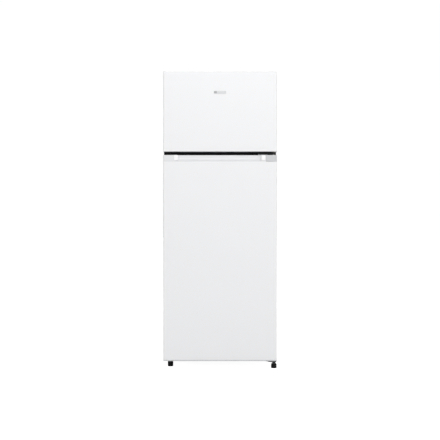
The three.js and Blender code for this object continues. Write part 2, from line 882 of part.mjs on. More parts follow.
function makeControlHousing() {
  const { half, front, back, bottom, top, wall } = housing;
  const profile = polygon([[front, bottom + 8], [front + 8, bottom], [back, bottom], [back, top], [front, top]]);
  const inner = polygon([
    [front + wall, bottom + 9],
    [front + 9, bottom + wall],
    [back - wall, bottom + wall],
    [back - wall, top + 1],
    [front + wall, top + 1],
  ]);
  const opening = block({ x: lensX, y: lensY, z: [bottom - 1, bottom + wall + 1] });
  return cut(
    cut(runAlongX(profile, [-half, half]), runAlongX(inner, [-half + wall, half - wall])),
    opening,
    frontBore(knobShaft + play, knobX),
    frontBore(plunger.radius + play, plungerX),
  );
}

function makeLampLens() {
  const { bottom, wall } = housing;
  const pane = block({
    x: [lensX[0] + fit, lensX[1] - fit],
    y: [lensY[0] + fit, lensY[1] - fit],
    z: [bottom - 1, bottom + wall],
  });
  const bulge = block({
    x: [lensX[0] + lensRim, lensX[1] - lensRim],
    y: [lensY[0] + lensRim, lensY[1] - lensRim],
    z: [bottom - lensDepth, bottom],
  });
  return join(pane, bulge);
}

function makeLamp() {
  const bulb = turned([
    [0, -24], [7, -24], [7, -10], [12, 0], [13, 8], [11, 15], [6, 20], [0, 21.5],
  ], 16);
  bulb.rotateY(Math.PI / 2);
  return bulb;
}

const knob = { rim: 17, radius: 14, rimFront: 6, height: 12, gap: 1, pointer: 2, shaftBack: 12 };

function makeKnob() {
  const front = housing.front;
  const rim = alongFront(knob.rim, [front - knob.rimFront, front - knob.gap], 32);
  const body = alongFront(knob.radius, [front - knob.height, front - knob.gap], 32);
  const pointer = block({
    x: [-knob.pointer, knob.pointer],
    y: [front - knob.height - 1, front - knob.rimFront],
    z: [knob.pointer, knob.radius],
  });
  const shaft = alongFront(knobShaft, [front - knob.gap - 1, front + knob.shaftBack], 16);
  return join(rim, body, pointer, shaft);
}

function makePlunger() {
  const button = alongFront(plunger.radius, [doorBack + 1, housing.front + plunger.back], 20);
  const collar = alongFront(plunger.collar, [housing.front + housing.wall + play, housing.front + housing.wall + 4], 20);
  return join(button, collar);
}

// ---------------------------------------------------------------- shelves, drawer and trays

// A pane with a deeper trim along its front edge.
function makeShelf(half, front, back, ribTop) {
  const bottom = ribTop + fit;
  const pane = block({ x: [-half, half], y: [front + 1, back], z: [bottom, bottom + shelfThickness] });
  const trim = block({
    x: [-half, half],
    y: [front, front + shelfTrimDepth - 2],
    z: [bottom - (shelfTrimHeight - shelfThickness) / 2, bottom + shelfThickness + 1.5],
  });
  return join(pane, trim);
}

const fridgeShelfHalf = fridgeRoom.halfWidth - 2;
const freezerShelfHalf = freezerRoom.halfWidth - 2;
const drawer = {
  half: fridgeRoom.halfWidth - drawerClearance,
  front: shelfFront - 2,
  back: stepFront - 6,
  bottom: fridgeRoom.bottom + play,
};
drawer.top = drawer.bottom + drawerHeight;

const drawerTaper = 8; // the back leans out this far
const drawerGrip = { share: 0.45, reach: 12, wall: 2.5, drop: 13, height: 13 };

function makeDrawer() {
  const { half, front, back, bottom, top } = drawer;
  const taper = drawerTaper;
  const outer = polygon([[front, bottom], [back - taper, bottom], [back, top], [front, top]]);
  const inner = polygon([
    [front + drawerWall, bottom + drawerWall],
    [back - taper - drawerWall, bottom + drawerWall],
    [back - drawerWall, top + 1],
    [front + drawerWall, top + 1],
  ]);
  const box = cut(runAlongX(outer, [-half, half]), runAlongX(inner, [-half + drawerWall, half - drawerWall]));
  const x = [-half * drawerGrip.share, half * drawerGrip.share];
  const gripTop = top - drawerGrip.drop;
  const grip = block({
    x,
    y: [front - drawerGrip.reach, front + 1],
    z: [gripTop - drawerGrip.wall, gripTop],
  });
  const gripEdge = block({
    x,
    y: [front - drawerGrip.reach, front - drawerGrip.reach + drawerGrip.wall],
    z: [gripTop - drawerGrip.height, gripTop],
  });
  return join(box, grip, gripEdge);
}

function makeIceTray() {
  const cells = { across: 6, deep: 2, size: 24, wall: 2.4, height: 28 };
  const pitch = cells.size + cells.wall;
  const x0 = -freezerShelfHalf + 30;
  const y0 = freezerShelfFront + 40;
  const bottom = freezerShelfHeight + fit + shelfThickness + fit;
  const body = block({
    x: [x0, x0 + cells.across * pitch + cells.wall],
    y: [y0, y0 + cells.deep * pitch + cells.wall],
    z: [bottom, bottom + cells.height],
  });
  const hollows = [];
  for (let i = 0; i < cells.across; i++) {
    for (let j = 0; j < cells.deep; j++) {
      const hollow = new THREE.CylinderGeometry(cells.size * 0.7, cells.size * 0.5, cells.height, 4);
      hollow.rotateY(Math.PI / 4);
      hollow.rotateX(Math.PI / 2);
      const x = x0 + cells.wall + i * pitch + cells.size / 2;
      const y = y0 + cells.wall + j * pitch + cells.size / 2;
      hollow.translate(x, y, bottom + cells.wall + cells.height / 2);
      hollows.push(hollow);
    }
  }
  return cut(body, ...hollows);
}

// ---------------------------------------------------------------- doors

// The plan of a door, inset by a given amount, with rounded front corners.
function doorOutline(inset, back = doorBack) {
  const half = halfWidth - inset;
  const front = doorFront + inset;
  const radius = doorEdgeRadius - inset;
  const shape = new THREE.Shape();
  shape.moveTo(half, back);
  shape.lineTo(-half, back);
  shape.lineTo(-half, front + radius);
  shape.absarc(-half + radius, front + radius, radius, Math.PI, Math.PI * 1.5, false);
  shape.lineTo(half - radius, front);
  shape.absarc(half - radius, front + radius, radius, Math.PI * 1.5, Math.PI * 2, false);
  return shape;
}

const linerFront = doorBack - linerWall;
const insideSkin = doorSheet + fit;
const pocketLip = insideSkin + 1.5; // from the door's front to the hinge pocket

function makeSkin(z) {
  return cut(
    raise(doorOutline(0), z),
    raise(doorOutline(doorSheet, doorBack + 1), [z[0] - 1, z[1] + 1]),
  );
}

// The room a hinge arm needs in the freezer door's top corner, whatever the door's angle.
function topPocket() {
  const neck = pinRadius + armEdge;
  const spread = (doorBack - hingeY) / (cabinetFront + play - hingeY);
  const armLeft = hingeX - neck - (topHingeReach + coverMargin - neck) * spread;
  return block({
    x: [armLeft - pocketClearance, halfWidth + 1],
    y: [doorFront + pocketLip, doorBack + 1],
    z: [overallHeight - topPocketDepth, overallHeight + 1],
  });
}

function makeDoorFoam(z) {
  return cut(
    raise(doorOutline(insideSkin, linerFront - fit), z),
    bushHole([z[0] - 1, z[0] + bushLength]),
    bushHole([z[1] - bushLength, z[1] + 1]),
  );
}

// The door's inner face: a sheet with two hollow upright dykes that carry the balconies.
function makeDoorLiner(room, z, dykeZ) {
  const half = halfWidth - insideSkin;
  const outerX = room.halfWidth - dykeClearance;
  const sheetBack = block({ x: [-half, half], y: [linerFront, doorBack], z });
  const dykes = [-1, 1].map((side) => block({
    x: [side * outerX, side * (outerX - dykeWidth)].sort((a, b) => a - b),
    y: [linerFront, doorBack + dykeDepth],
    z: dykeZ,
  }));
  const hollows = [-1, 1].map((side) => block({
    x: [side * (outerX - linerWall), side * (outerX - dykeWidth + linerWall)].sort((a, b) => a - b),
    y: [linerFront - 1, doorBack + dykeDepth - linerWall],
    z: [dykeZ[0] + linerWall, dykeZ[1] - linerWall],
  }));
  return cut(join(sheetBack, ...dykes), ...hollows);
}

function makeSeal(room) {
  const inner = sealInset;
  const outer = sealInset + sealWidth;
  const y = [doorBack + fit, cabinetFront - railThickness - 2 * fit];
  const ring = (grow, depth) => block({
    x: [-room.halfWidth - grow, room.halfWidth + grow],
    y: depth,
    z: [room.bottom - grow, room.top + grow],
  });
  return cut(ring(outer, y), ring(inner, [y[0] - 1, y[1] + 1]));
}

const balconySlope = { run: 12, rise: 14 };

function makeBalcony(room, depth, height, bottom) {
  const half = room.halfWidth - dykeClearance - dykeWidth - balconyClearance;
  const front = doorBack + fit;
  const back = doorBack + depth;
  const outer = polygon([
    [front, bottom],
    [back - balconySlope.run, bottom],
    [back, bottom + balconySlope.rise],
    [back, bottom + height],
    [front, bottom + height],
  ]);
  const inner = polygon([
    [front + balconyWall, bottom + balconyWall],
    [back - balconySlope.run - 1, bottom + balconyWall],
    [back - balconyWall, bottom + balconySlope.rise + 1],
    [back - balconyWall, bottom + height + 1],
    [front + balconyWall, bottom + height + 1],
  ]);
  return cut(
    runAlongX(outer, [-half, half]),
    runAlongX(inner, [-half + balconyWall, half - balconyWall]),
  );
}

const freezerCaps = { top: topPocketDepth + 3, bottom: 10 };
const freezerDykeInset = 14; // from the ends of the compartment to the dykes
const fridgeDykeInset = 24;
const balconyFloor = 6; // above the dykes' lower ends
const rackFloor = 8;
const upperBalconyShare = { freezer: 0.55, fridge: 0.72 };
const middleBalconyShare = 0.3;

function freezerDoorParts() {
  const { bottom, top } = freezerDoor;
  const liner = [bottom + freezerCaps.bottom + fit, top - freezerCaps.top - fit];
  const capShape = doorOutline(insideSkin);
  const topCap = cut(
    raise(capShape, [top - freezerCaps.top, top - 0.5]),
    topPocket(),
    bushHole([top - freezerCaps.top - 1, top]),
  );
  const bottomCap = cut(
    raise(capShape, [bottom + 0.5, bottom + freezerCaps.bottom]),
    bushHole([bottom, bottom + freezerCaps.bottom + 1]),
  );
  const skin = cut(makeSkin([bottom, top]), block({
    x: [halfWidth - doorEdgeRadius, halfWidth + 1],
    y: [doorFront + pocketLip, doorBack + 1],
    z: [top - topPocketDepth, top + 1],
  }));
  const room = freezerRoom;
  const dykes = [room.bottom + freezerDykeInset, room.top - freezerDykeInset];
  const span = dykes[1] - dykes[0];
  const balcony = (z) => makeBalcony(room, freezerBalconyDepth, balconyHeight, z);
  const badge = block({
    x: [-badgeWidth / 2, badgeWidth / 2],
    y: [doorFront - badgeStandOff, doorFront - fit],
    z: [top - badgeDrop - badgeHeight, top - badgeDrop],
  });
  const bushTop = makeBush();
  bushTop.rotateX(Math.PI);
  const bushTopZ = top - topPocketDepth + bushFlangeHeight + fit;
  return group(
    part('freezer_door_skin', skin, whiteSteel),
    part('freezer_door_foam', makeDoorFoam(liner), foamMaterial),
    part('freezer_door_liner', makeDoorLiner(room, liner, dykes), linerPlastic),
    part('freezer_door_top_cap', topCap, whitePlastic),
    part('freezer_door_bottom_cap', bottomCap, greyPlastic),
    part('freezer_door_gasket', makeSeal(room), sealRubber),
    part('freezer_door_lower_balcony', balcony(dykes[0] + balconyFloor), clearPlastic),
    part('freezer_door_upper_balcony', balcony(dykes[0] + span * upperBalconyShare.freezer), clearPlastic),
    part('badge', badge, greyPlastic),
    part('freezer_door_top_bush', bushTop, nylon, [hingeX, hingeY, bushTopZ]),
    part('freezer_door_bottom_bush', makeBush(), nylon, [hingeX, hingeY, bottom - bushFlangeHeight - fit]),
  );
}

const gripBandHeight = 32;
const gripDepth = 16;
const gripStep = 1.5; // the band lies this far behind the door's front
const capPlug = 14;
const capRim = 10;
const gripLeft = -halfWidth + 68;
const gripRight = halfWidth - 77;
const blockWidth = { left: 14, right: 22 };
const bottomCapHeight = 5;

// The grip recess: a scoop in the front of the top cap, deepest at the door's top edge.
function gripScoop(top) {
  const bottom = top - gripBandHeight + 4;
  const shape = new THREE.Shape();
  shape.moveTo(doorFront - 1, bottom);
  shape.lineTo(doorFront + gripStep, bottom);
  shape.quadraticCurveTo(doorFront + gripDepth, bottom + 4, doorFront + gripDepth, top - 8);
  shape.lineTo(doorFront + gripDepth, top + 1);
  shape.lineTo(doorFront - 1, top + 1);
  return runAlongX(shape, [gripLeft, gripRight], 8);
}

function hingeSideCorner(z, grow) {
  return block({
    x: [gripRight + blockWidth.right + 2 - grow, halfWidth + 1],
    y: [doorFront - 1, doorFront + 11 + grow],
    z,
  });
}

function fridgeTopCap(top) {
  const visibleBottom = top - gripBandHeight;
  const front = doorFront + gripStep;
  const band = overlap(
    raise(doorOutline(0), [visibleBottom, top]),
    block({ x: [-halfWidth, halfWidth], y: [front, doorBack + 1], z: [visibleBottom, top] }),
  );
  const plug = raise(doorOutline(insideSkin), [visibleBottom - capPlug, visibleBottom + 1]);
  const lap = block({
    x: [-halfWidth - 1, halfWidth + 1],
    y: [linerFront - fit, doorBack + 1],
    z: [visibleBottom - capPlug - 1, top - capRim],
  });
  const blocks = [
    [gripLeft - blockWidth.left, gripLeft],
    [gripRight, gripRight + blockWidth.right],
  ].map((x) => block({ x, y: [doorFront, front + 1], z: [top - gripBandHeight + 6, top - 1] }));
  return cut(
    join(cut(join(band, plug), gripScoop(top)), ...blocks),
    hingeSideCorner([visibleBottom, top + 1], fit),
    lap,
    bushHole([visibleBottom - capPlug - 1, top + 1]),
  );
}

function fridgeBottomCap(bottom) {
  const visible = raise(doorOutline(0), [bottom, bottom + bottomCapHeight - fit]);
  const plug = raise(doorOutline(insideSkin), [bottom + 1, bottom + bottomCapHeight + capPlug]);
  const lap = block({
    x: [-halfWidth - 1, halfWidth + 1],
    y: [linerFront - fit, doorBack + 1],
    z: [bottom + capRim, bottom + bottomCapHeight + capPlug + 1],
  });
  return cut(join(visible, plug), lap, bushHole([bottom - 1, bottom + bottomCapHeight + capPlug + 1]));
}

function fridgeDoorParts() {
  const { bottom, top } = fridgeDoor;
  const skin = [bottom + bottomCapHeight, top - gripBandHeight - fit];
  const foam = [skin[0] + capPlug + fit, skin[1] - capPlug - fit];
  const liner = [bottom + capRim + fit, top - capRim - fit];
  const room = fridgeRoom;
  const dykes = [room.bottom + fridgeDykeInset, housing.bottom - fridgeDykeInset];
  const rackBottom = dykes[0] + rackFloor;
  const span = dykes[1] - rackBottom - rackHeight;
  const balcony = (share) =>
    makeBalcony(room, fridgeBalconyDepth, balconyHeight, rackBottom + rackHeight + span * share);
  const cover = overlap(
    raise(doorOutline(0), [top - gripBandHeight + fit, top]),
    hingeSideCorner([top - gripBandHeight + fit, top], 0),
  );
  const bushTop = makeBush();
  bushTop.rotateX(Math.PI);
  return group(
    part('fridge_door_skin', makeSkin(skin), whiteSteel),
    part('fridge_door_foam', makeDoorFoam(foam), foamMaterial),
    part('fridge_door_liner', makeDoorLiner(room, liner, dykes), linerPlastic),
    part('fridge_door_top_cap', fridgeTopCap(top), paleGrey),
    part('hinge_side_cover', cover, greyPlastic),
    part('fridge_door_bottom_cap', fridgeBottomCap(bottom), greyPlastic),
    part('fridge_door_gasket', makeSeal(room), sealRubber),
    part('fridge_door_bottle_rack', makeBalcony(room, rackDepth, rackHeight, rackBottom), clearPlastic),
    part('fridge_door_middle_balcony', balcony(middleBalconyShare), clearPlastic),
    part('fridge_door_upper_balcony', balcony(upperBalconyShare.fridge), clearPlastic),
    part('fridge_door_top_bush', bushTop, nylon, [hingeX, hingeY, top + bushFlangeHeight + fit]),
    part('fridge_door_bottom_bush', makeBush(), nylon, [hingeX, hingeY, bottom - bushFlangeHeight - fit]),
  );
}

// ---------------------------------------------------------------- the assembly

function cabinetParts() {
  return group(
    part('outer_wrap', makeOuterWrap(), whiteSteel),
    part('back_panel', makeBackPanel(), zincSteel),
    part('base_plate', makeBasePlate(), zincSteel),
    part('niche_panel', makeNichePanel(), zincSteel),
    part('cabinet_foam', makeCabinetFoam(), foamMaterial),
    part('freezer_liner', makeFreezerLiner(), linerPlastic),
    part('fridge_liner', makeFridgeLiner(), linerPlastic),
    part('centre_rail', makeCentreRail(), blackPlastic),
    part('evaporator', evaporatorBody(0), aluminium),
    part('top_hinge', makeTopHinge(), zincSteel),
    part('top_hinge_cover', makeTopHingeCover(), whitePlastic),
    part('middle_hinge', makeMiddleHinge(), zincSteel),
    part('bottom_hinge', makeBottomHinge(), blackSteel),
  );
}

function supportParts() {
  const leftFoot = makeFoot(leftFootHeight, cabinetBottom - fit);
  const rightFoot = makeFoot(rightFootHeight, bracketTop - 2);
  const leftPlace = [-halfWidth + leftFootInset, cabinetFront + leftFootSetback, 0];
  return group(
    part('left_front_foot', leftFoot, blackPlastic, leftPlace),
    part('right_front_foot', rightFoot, blackPlastic, [rightFootX, rightFootY, 0]),
    part('left_roller', makeRoller(), blackPlastic, [-rollerX, rollerY, rollerZ]),
    part('right_roller', makeRoller(), blackPlastic, [rollerX, rollerY, rollerZ]),
  );
}

function coolingParts() {
  return group(
    part('compressor_base', makeCompressorBase(), zincSteel),
    part('compressor', makeCompressor(), blackSteel),
    part('terminal_box', makeTerminalBox(), blackPlastic),
    part('evaporation_tray', makeEvaporationTray(), blackPlastic),
    part('condenser_coil', makeCondenserCoil(), blackSteel),
    part('discharge_pipe', makeDischargePipe(), copper),
    part('suction_pipe', makeSuctionPipe(), copper),
    part('filter_drier', makeFilterDrier(), copper),
  );
}

function interiorParts() {
  const lampPlace = [(lensX[0] + lensX[1]) / 2, (lensY[0] + lensY[1]) / 2, controlHeight + 2];
  const shelves = shelfHeights.map((height, i) => {
    const shape = makeShelf(fridgeShelfHalf, shelfFront, fridgeRoom.back - 4, height);
    return part(`glass_shelf_${i + 1}`, shape, glass);
  });
  const cover = makeShelf(fridgeShelfHalf, shelfFront, fridgeRoom.back - 4, crisperCoverTop);
  const freezerShelf = makeShelf(freezerShelfHalf, freezerShelfFront, freezerRoom.back - 4, freezerShelfHeight);
  return group(
    part('control_housing', makeControlHousing(), whitePlastic),
    part('lamp_lens', makeLampLens(), clearPlastic),
    part('lamp', makeLamp(), glass, lampPlace),
    part('thermostat_knob', makeKnob(), whitePlastic, [knobX, 0, controlHeight]),
    part('door_switch_plunger', makePlunger(), whitePlastic, [plungerX, 0, controlHeight]),
    ...shelves,
    part('crisper_cover', cover, glass),
    part('crisper_drawer', makeDrawer(), clearPlastic),
    part('freezer_shelf', freezerShelf, glass),
    part('ice_tray', makeIceTray(), whitePlastic),
  );
}

export default group(
  cabinetParts(),
  supportParts(),
  coolingParts(),
  interiorParts(),
  freezerDoorParts(),
  fridgeDoorParts(),
);
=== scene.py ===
import json
import math

import bpy
from mathutils import Matrix, Vector


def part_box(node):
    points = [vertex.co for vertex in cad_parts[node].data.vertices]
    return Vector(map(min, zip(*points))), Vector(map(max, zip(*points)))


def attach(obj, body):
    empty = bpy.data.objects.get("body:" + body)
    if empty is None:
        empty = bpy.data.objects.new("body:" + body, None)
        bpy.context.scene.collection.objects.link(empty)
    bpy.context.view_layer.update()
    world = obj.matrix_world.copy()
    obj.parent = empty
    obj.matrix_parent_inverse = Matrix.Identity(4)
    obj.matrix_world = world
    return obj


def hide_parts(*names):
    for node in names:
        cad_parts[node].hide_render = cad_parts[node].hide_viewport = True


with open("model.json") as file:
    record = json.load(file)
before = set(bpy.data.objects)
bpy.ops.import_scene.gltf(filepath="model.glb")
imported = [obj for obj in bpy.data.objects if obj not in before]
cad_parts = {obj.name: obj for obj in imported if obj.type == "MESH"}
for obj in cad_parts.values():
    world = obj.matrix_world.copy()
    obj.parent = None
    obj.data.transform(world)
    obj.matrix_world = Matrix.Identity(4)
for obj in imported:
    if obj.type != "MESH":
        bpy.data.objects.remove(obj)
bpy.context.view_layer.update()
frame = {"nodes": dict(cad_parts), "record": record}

# A free-standing top freezer refrigerator, finished for close views with its doors shut or open.
# Metres, +Z up, the doors face -Y.

BODY_OF = {
    node: body
    for body, nodes in frame["record"]["behaviour"]["bodies"].items()
    for node in nodes
}
SLOT_OF = {row["node"]: row["material_slot"] for row in frame["record"]["subparts"]}


# ------------------------------------------------------------------ shader groups

FINE_OVER_BROAD = 3.7  # how much smaller the fine waves of the orange peel are than the broad ones
STEEPEST_DUSTY = 0.1  # upward part of the normal at which dust starts to lie


def new_group(name, inputs, outputs):
    """An empty shader node group with a Vector input, float inputs (name, default) and float outputs."""
    group = bpy.data.node_groups.new(name, "ShaderNodeTree")
    group.interface.new_socket("Vector", in_out="INPUT", socket_type="NodeSocketVector")
    for label, value in inputs:
        socket = group.interface.new_socket(label, in_out="INPUT", socket_type="NodeSocketFloat")
        socket.default_value = value
    for label in outputs:
        group.interface.new_socket(label, in_out="OUTPUT", socket_type="NodeSocketFloat")
    entry = group.nodes.new("NodeGroupInput")
    leave = group.nodes.new("NodeGroupOutput")
    return group, entry, leave


def add(tree, kind, **values):
    """A node with its named properties and unlinked input sockets set."""
    node = tree.nodes.new(kind)
    for key, value in values.items():
        if key in node.inputs:
            node.inputs[key].default_value = value
        else:
            setattr(node, key.lower(), value)
    return node


def remap(tree, source, low, high):
    """Turns a 0 to 1 value into low to high, where the ends may be sockets or numbers."""
    node = tree.nodes.new("ShaderNodeMapRange")
    tree.links.new(source, node.inputs["Value"])
    for label, end in (("To Min", low), ("To Max", high)):
        if isinstance(end, (int, float)):
            node.inputs[label].default_value = end
        else:
            tree.links.new(end, node.inputs[label])
    return node.outputs["Result"]


def arithmetic(tree, operation, first, second):
    node = tree.nodes.new("ShaderNodeMath")
    node.operation = operation
    for socket, value in zip(node.inputs, (first, second)):
        if isinstance(value, (int, float)):
            socket.default_value = value
        else:
            tree.links.new(value, socket)
    return node.outputs["Value"]


def cloudy_tone_group():
    """Slow drift of tone over a surface, as in a large painted or moulded panel."""
    group, entry, leave = new_group("cloudy_tone", [("Scale", 4.0), ("Amount", 0.02)], ["Tone", "Cloud"])
    noise = add(group, "ShaderNodeTexNoise", Detail=3.0, Roughness=0.5)
    group.links.new(entry.outputs["Vector"], noise.inputs["Vector"])
    group.links.new(entry.outputs["Scale"], noise.inputs["Scale"])
    low = arithmetic(group, "SUBTRACT", 1.0, entry.outputs["Amount"])
    tone = remap(group, noise.outputs["Fac"], low, 1.0)
    group.links.new(tone, leave.inputs["Tone"])
    group.links.new(noise.outputs["Fac"], leave.inputs["Cloud"])
    return group


def orange_peel_group():
    """The fine rolling texture of sprayed enamel and of moulded plastic."""
    group, entry, leave = new_group("orange_peel", [("Scale", 350.0), ("Mix", 0.4)], ["Height"])
    broad = add(group, "ShaderNodeTexNoise", Detail=1.0)
    fine = add(group, "ShaderNodeTexNoise", Detail=2.0)
    group.links.new(entry.outputs["Vector"], broad.inputs["Vector"])
    group.links.new(entry.outputs["Vector"], fine.inputs["Vector"])
    group.links.new(entry.outputs["Scale"], broad.inputs["Scale"])
    fine_scale = arithmetic(group, "MULTIPLY", entry.outputs["Scale"], FINE_OVER_BROAD)
    group.links.new(fine_scale, fine.inputs["Scale"])
    share = arithmetic(group, "MULTIPLY", fine.outputs["Fac"], entry.outputs["Mix"])
    group.links.new(arithmetic(group, "ADD", broad.outputs["Fac"], share), leave.inputs["Height"])
    return group


def spangle_group():
    """The crystal flakes of galvanised sheet."""
    group, entry, leave = new_group("spangle", [("Scale", 90.0)], ["Flake"])
    cells = add(group, "ShaderNodeTexVoronoi", Randomness=1.0)
    group.links.new(entry.outputs["Vector"], cells.inputs["Vector"])
    group.links.new(entry.outputs["Scale"], cells.inputs["Scale"])
    split = group.nodes.new("ShaderNodeSeparateColor")
    group.links.new(cells.outputs["Color"], split.inputs["Color"])
    group.links.new(split.outputs["Red"], leave.inputs["Flake"])
    return group


def dust_group():
    """A mask of settled dust: most on faces that look up, broken into patches."""
    group, entry, leave = new_group("settled_dust", [("Scale", 25.0), ("Amount", 0.3)], ["Mask"])
    surface = group.nodes.new("ShaderNodeNewGeometry")
    split = group.nodes.new("ShaderNodeSeparateXYZ")
    group.links.new(surface.outputs["Normal"], split.inputs["Vector"])
    upward = group.nodes.new("ShaderNodeMapRange")
    upward.inputs["From Min"].default_value = STEEPEST_DUSTY
    group.links.new(split.outputs["Z"], upward.inputs["Value"])
    patches = add(group, "ShaderNodeTexNoise", Detail=4.0, Roughness=0.65)
    group.links.new(entry.outputs["Vector"], patches.inputs["Vector"])
    group.links.new(entry.outputs["Scale"], patches.inputs["Scale"])
    both = arithmetic(group, "MULTIPLY", upward.outputs["Result"], patches.outputs["Fac"])
    group.links.new(arithmetic(group, "MULTIPLY", both, entry.outputs["Amount"]), leave.inputs["Mask"])
    return group


def drawn_lines_group():
    """Fine lines along one direction, left by rolling or drawing metal."""
    group, entry, leave = new_group("drawn_lines", [("Scale", 60.0)], ["Line"])
    noise = add(group, "ShaderNodeTexNoise", Detail=3.0, Roughness=0.6)
    group.links.new(entry.outputs["Vector"], noise.inputs["Vector"])
    group.links.new(entry.outputs["Scale"], noise.inputs["Scale"])
    group.links.new(noise.outputs["Fac"], leave.inputs["Line"])
    return group


CLOUDY_TONE = cloudy_tone_group()
ORANGE_PEEL = orange_peel_group()
SPANGLE = spangle_group()
SETTLED_DUST = dust_group()
DRAWN_LINES = drawn_lines_group()


# ------------------------------------------------------------------ materials

PALE_DUST = (0.45, 0.43, 0.40)
GREY_DUST = (0.40, 0.38, 0.35)
DARK_DUST = (0.24, 0.23, 0.21)


def darker(colour, share):
    return [channel * share for channel in colour]


class Finish:
    """One material being built: its tree, its Principled shader and the piece's own coordinates."""

    def __init__(self, name, colour, roughness, **sockets):
        self.material = bpy.data.materials.new(name)
        self.material.use_nodes = True
        self.tree = self.material.node_tree
        self.shader = self.tree.nodes["Principled BSDF"]
        self.colour = (*colour, 1.0)
        self.shader.inputs["Base Color"].default_value = self.colour
        self.shader.inputs["Roughness"].default_value = roughness
        for label, value in sockets.items():
            self.shader.inputs[label.replace("_", " ")].default_value = value
        self.roughness = roughness
        self.place = self.tree.nodes.new("ShaderNodeTexCoord").outputs["Object"]
        self.base = None

    def stretched(self, scale):
        """The piece's coordinates, scaled apart in x, y and z."""
        mapping = self.tree.nodes.new("ShaderNodeMapping")
        mapping.inputs["Scale"].default_value = scale
        self.tree.links.new(self.place, mapping.inputs["Vector"])
        return mapping.outputs["Vector"]

    def effect(self, group, vector=None, **values):
        node = self.tree.nodes.new("ShaderNodeGroup")
        node.node_tree = group
        self.tree.links.new(vector or self.place, node.inputs["Vector"])
        for label, value in values.items():
            node.inputs[label].default_value = value
        return node.outputs

    def tint(self, mask, colour, kind="MIX"):
        """Mixes a second colour over the base by a mask."""
        mix = self.tree.nodes.new("ShaderNodeMix")
        mix.data_type = "RGBA"
        mix.blend_type = kind
        if self.base is None:
            mix.inputs["A"].default_value = self.colour
        else:
            self.tree.links.new(self.base, mix.inputs["A"])
        mix.inputs["B"].default_value = (*colour, 1.0)
        self.tree.links.new(mask, mix.inputs["Factor"])
        self.base = mix.outputs["Result"]
        self.tree.links.new(self.base, self.shader.inputs["Base Color"])
        return self

    def uneven_gloss(self, value, spread):
        """Lets the roughness follow a 0 to 1 value, by the spread each way."""
        low, high = self.roughness - spread, self.roughness + spread
        self.tree.links.new(remap(self.tree, value, low, high), self.shader.inputs["Roughness"])
        return self

    def relief(self, height, depth, strength=1.0):
        bump = self.tree.nodes.new("ShaderNodeBump")
        bump.inputs["Distance"].default_value = depth
        bump.inputs["Strength"].default_value = strength
        self.tree.links.new(height, bump.inputs["Height"])
        self.tree.links.new(bump.outputs["Normal"], self.shader.inputs["Normal"])
        return self


def enamel(name, colour, roughness, coat, peel_scale=420.0, peel_depth=0.00006, shade=0.94):
    """Sprayed and baked enamel on steel."""
    finish = Finish(name, colour, roughness, Coat_Weight=coat, Coat_Roughness=0.12)
    cloud = finish.effect(CLOUDY_TONE, Scale=3.0)["Cloud"]
    mask = remap(finish.tree, cloud, 0.0, 0.25)
    finish.tint(mask, darker(colour, shade))
    finish.uneven_gloss(cloud, 0.05)
    finish.relief(finish.effect(ORANGE_PEEL, Scale=peel_scale)["Height"], peel_depth)
    return finish.material


def moulded(name, colour, roughness, grain_scale=700.0, grain_depth=0.00005, dust=0.0, shade=0.93, shine=0.5):
    """Injection moulded or vacuum formed plastic."""
    finish = Finish(name, colour, roughness, Specular_IOR_Level=shine)
    cloud = finish.effect(CLOUDY_TONE, Scale=6.0)["Cloud"]
    finish.tint(remap(finish.tree, cloud, 0.0, 0.3), darker(colour, shade))
    if dust:
        mask = finish.effect(SETTLED_DUST, Scale=30.0, Amount=dust)["Mask"]
        finish.tint(mask, PALE_DUST)
    finish.uneven_gloss(cloud, 0.06)
    finish.relief(finish.effect(ORANGE_PEEL, Scale=grain_scale, Mix=0.8)["Height"], grain_depth)
    return finish.material


def galvanised(name, colour):
    """Zinc coated sheet with its crystal flakes."""
    finish = Finish(name, colour, 0.38, Metallic=0.85)
    flake = finish.effect(SPANGLE, Scale=85.0)["Flake"]
    finish.tint(remap(finish.tree, flake, 0.0, 0.35), darker(colour, 0.72))
    mask = finish.effect(SETTLED_DUST, Scale=18.0, Amount=0.35)["Mask"]
    finish.tint(mask, GREY_DUST)
    finish.uneven_gloss(flake, 0.05)
    finish.relief(finish.effect(ORANGE_PEEL, Scale=160.0)["Height"], 0.00005)
    return finish.material


def black_enamel(name):
    """Thick black stoving enamel on tube, wire and pressed steel, with a film of dust."""
    colour = (0.016, 0.016, 0.018)
    finish = Finish(name, colour, 0.36, Coat_Weight=0.15, Coat_Roughness=0.2)
    cloud = finish.effect(CLOUDY_TONE, Scale=20.0)["Cloud"]
    mask = finish.effect(SETTLED_DUST, Scale=40.0, Amount=0.45)["Mask"]
    finish.tint(cloud, (0.028, 0.028, 0.030))
    finish.tint(mask, DARK_DUST)
    finish.uneven_gloss(cloud, 0.10)
    finish.relief(finish.effect(ORANGE_PEEL, Scale=260.0)["Height"], 0.00012)
    return finish.material


def drawn_copper(name):
    """Copper tube, browned in patches by brazing heat and air."""
    colour = (0.72, 0.34, 0.20)
    finish = Finish(name, colour, 0.30, Metallic=1.0)
    cloud = finish.effect(CLOUDY_TONE, Scale=26.0)["Cloud"]
    finish.tint(cloud, (0.30, 0.13, 0.07))
    line = finish.effect(DRAWN_LINES, finish.stretched((60.0, 60.0, 6.0)), Scale=4.0)["Line"]
    finish.uneven_gloss(line, 0.12)
    finish.relief(line, 0.00004)
    return finish.material


def rolled_metal(name, colour, roughness=0.3):
    """Rolled aluminium or plated steel with fine lines along Z."""
    finish = Finish(name, colour, roughness, Metallic=1.0)
    line = finish.effect(DRAWN_LINES, finish.stretched((90.0, 90.0, 4.0)), Scale=6.0)["Line"]
    finish.tint(line, darker(colour, 0.8))
    finish.uneven_gloss(line, 0.09)
    finish.relief(line, 0.00003)
    return finish.material


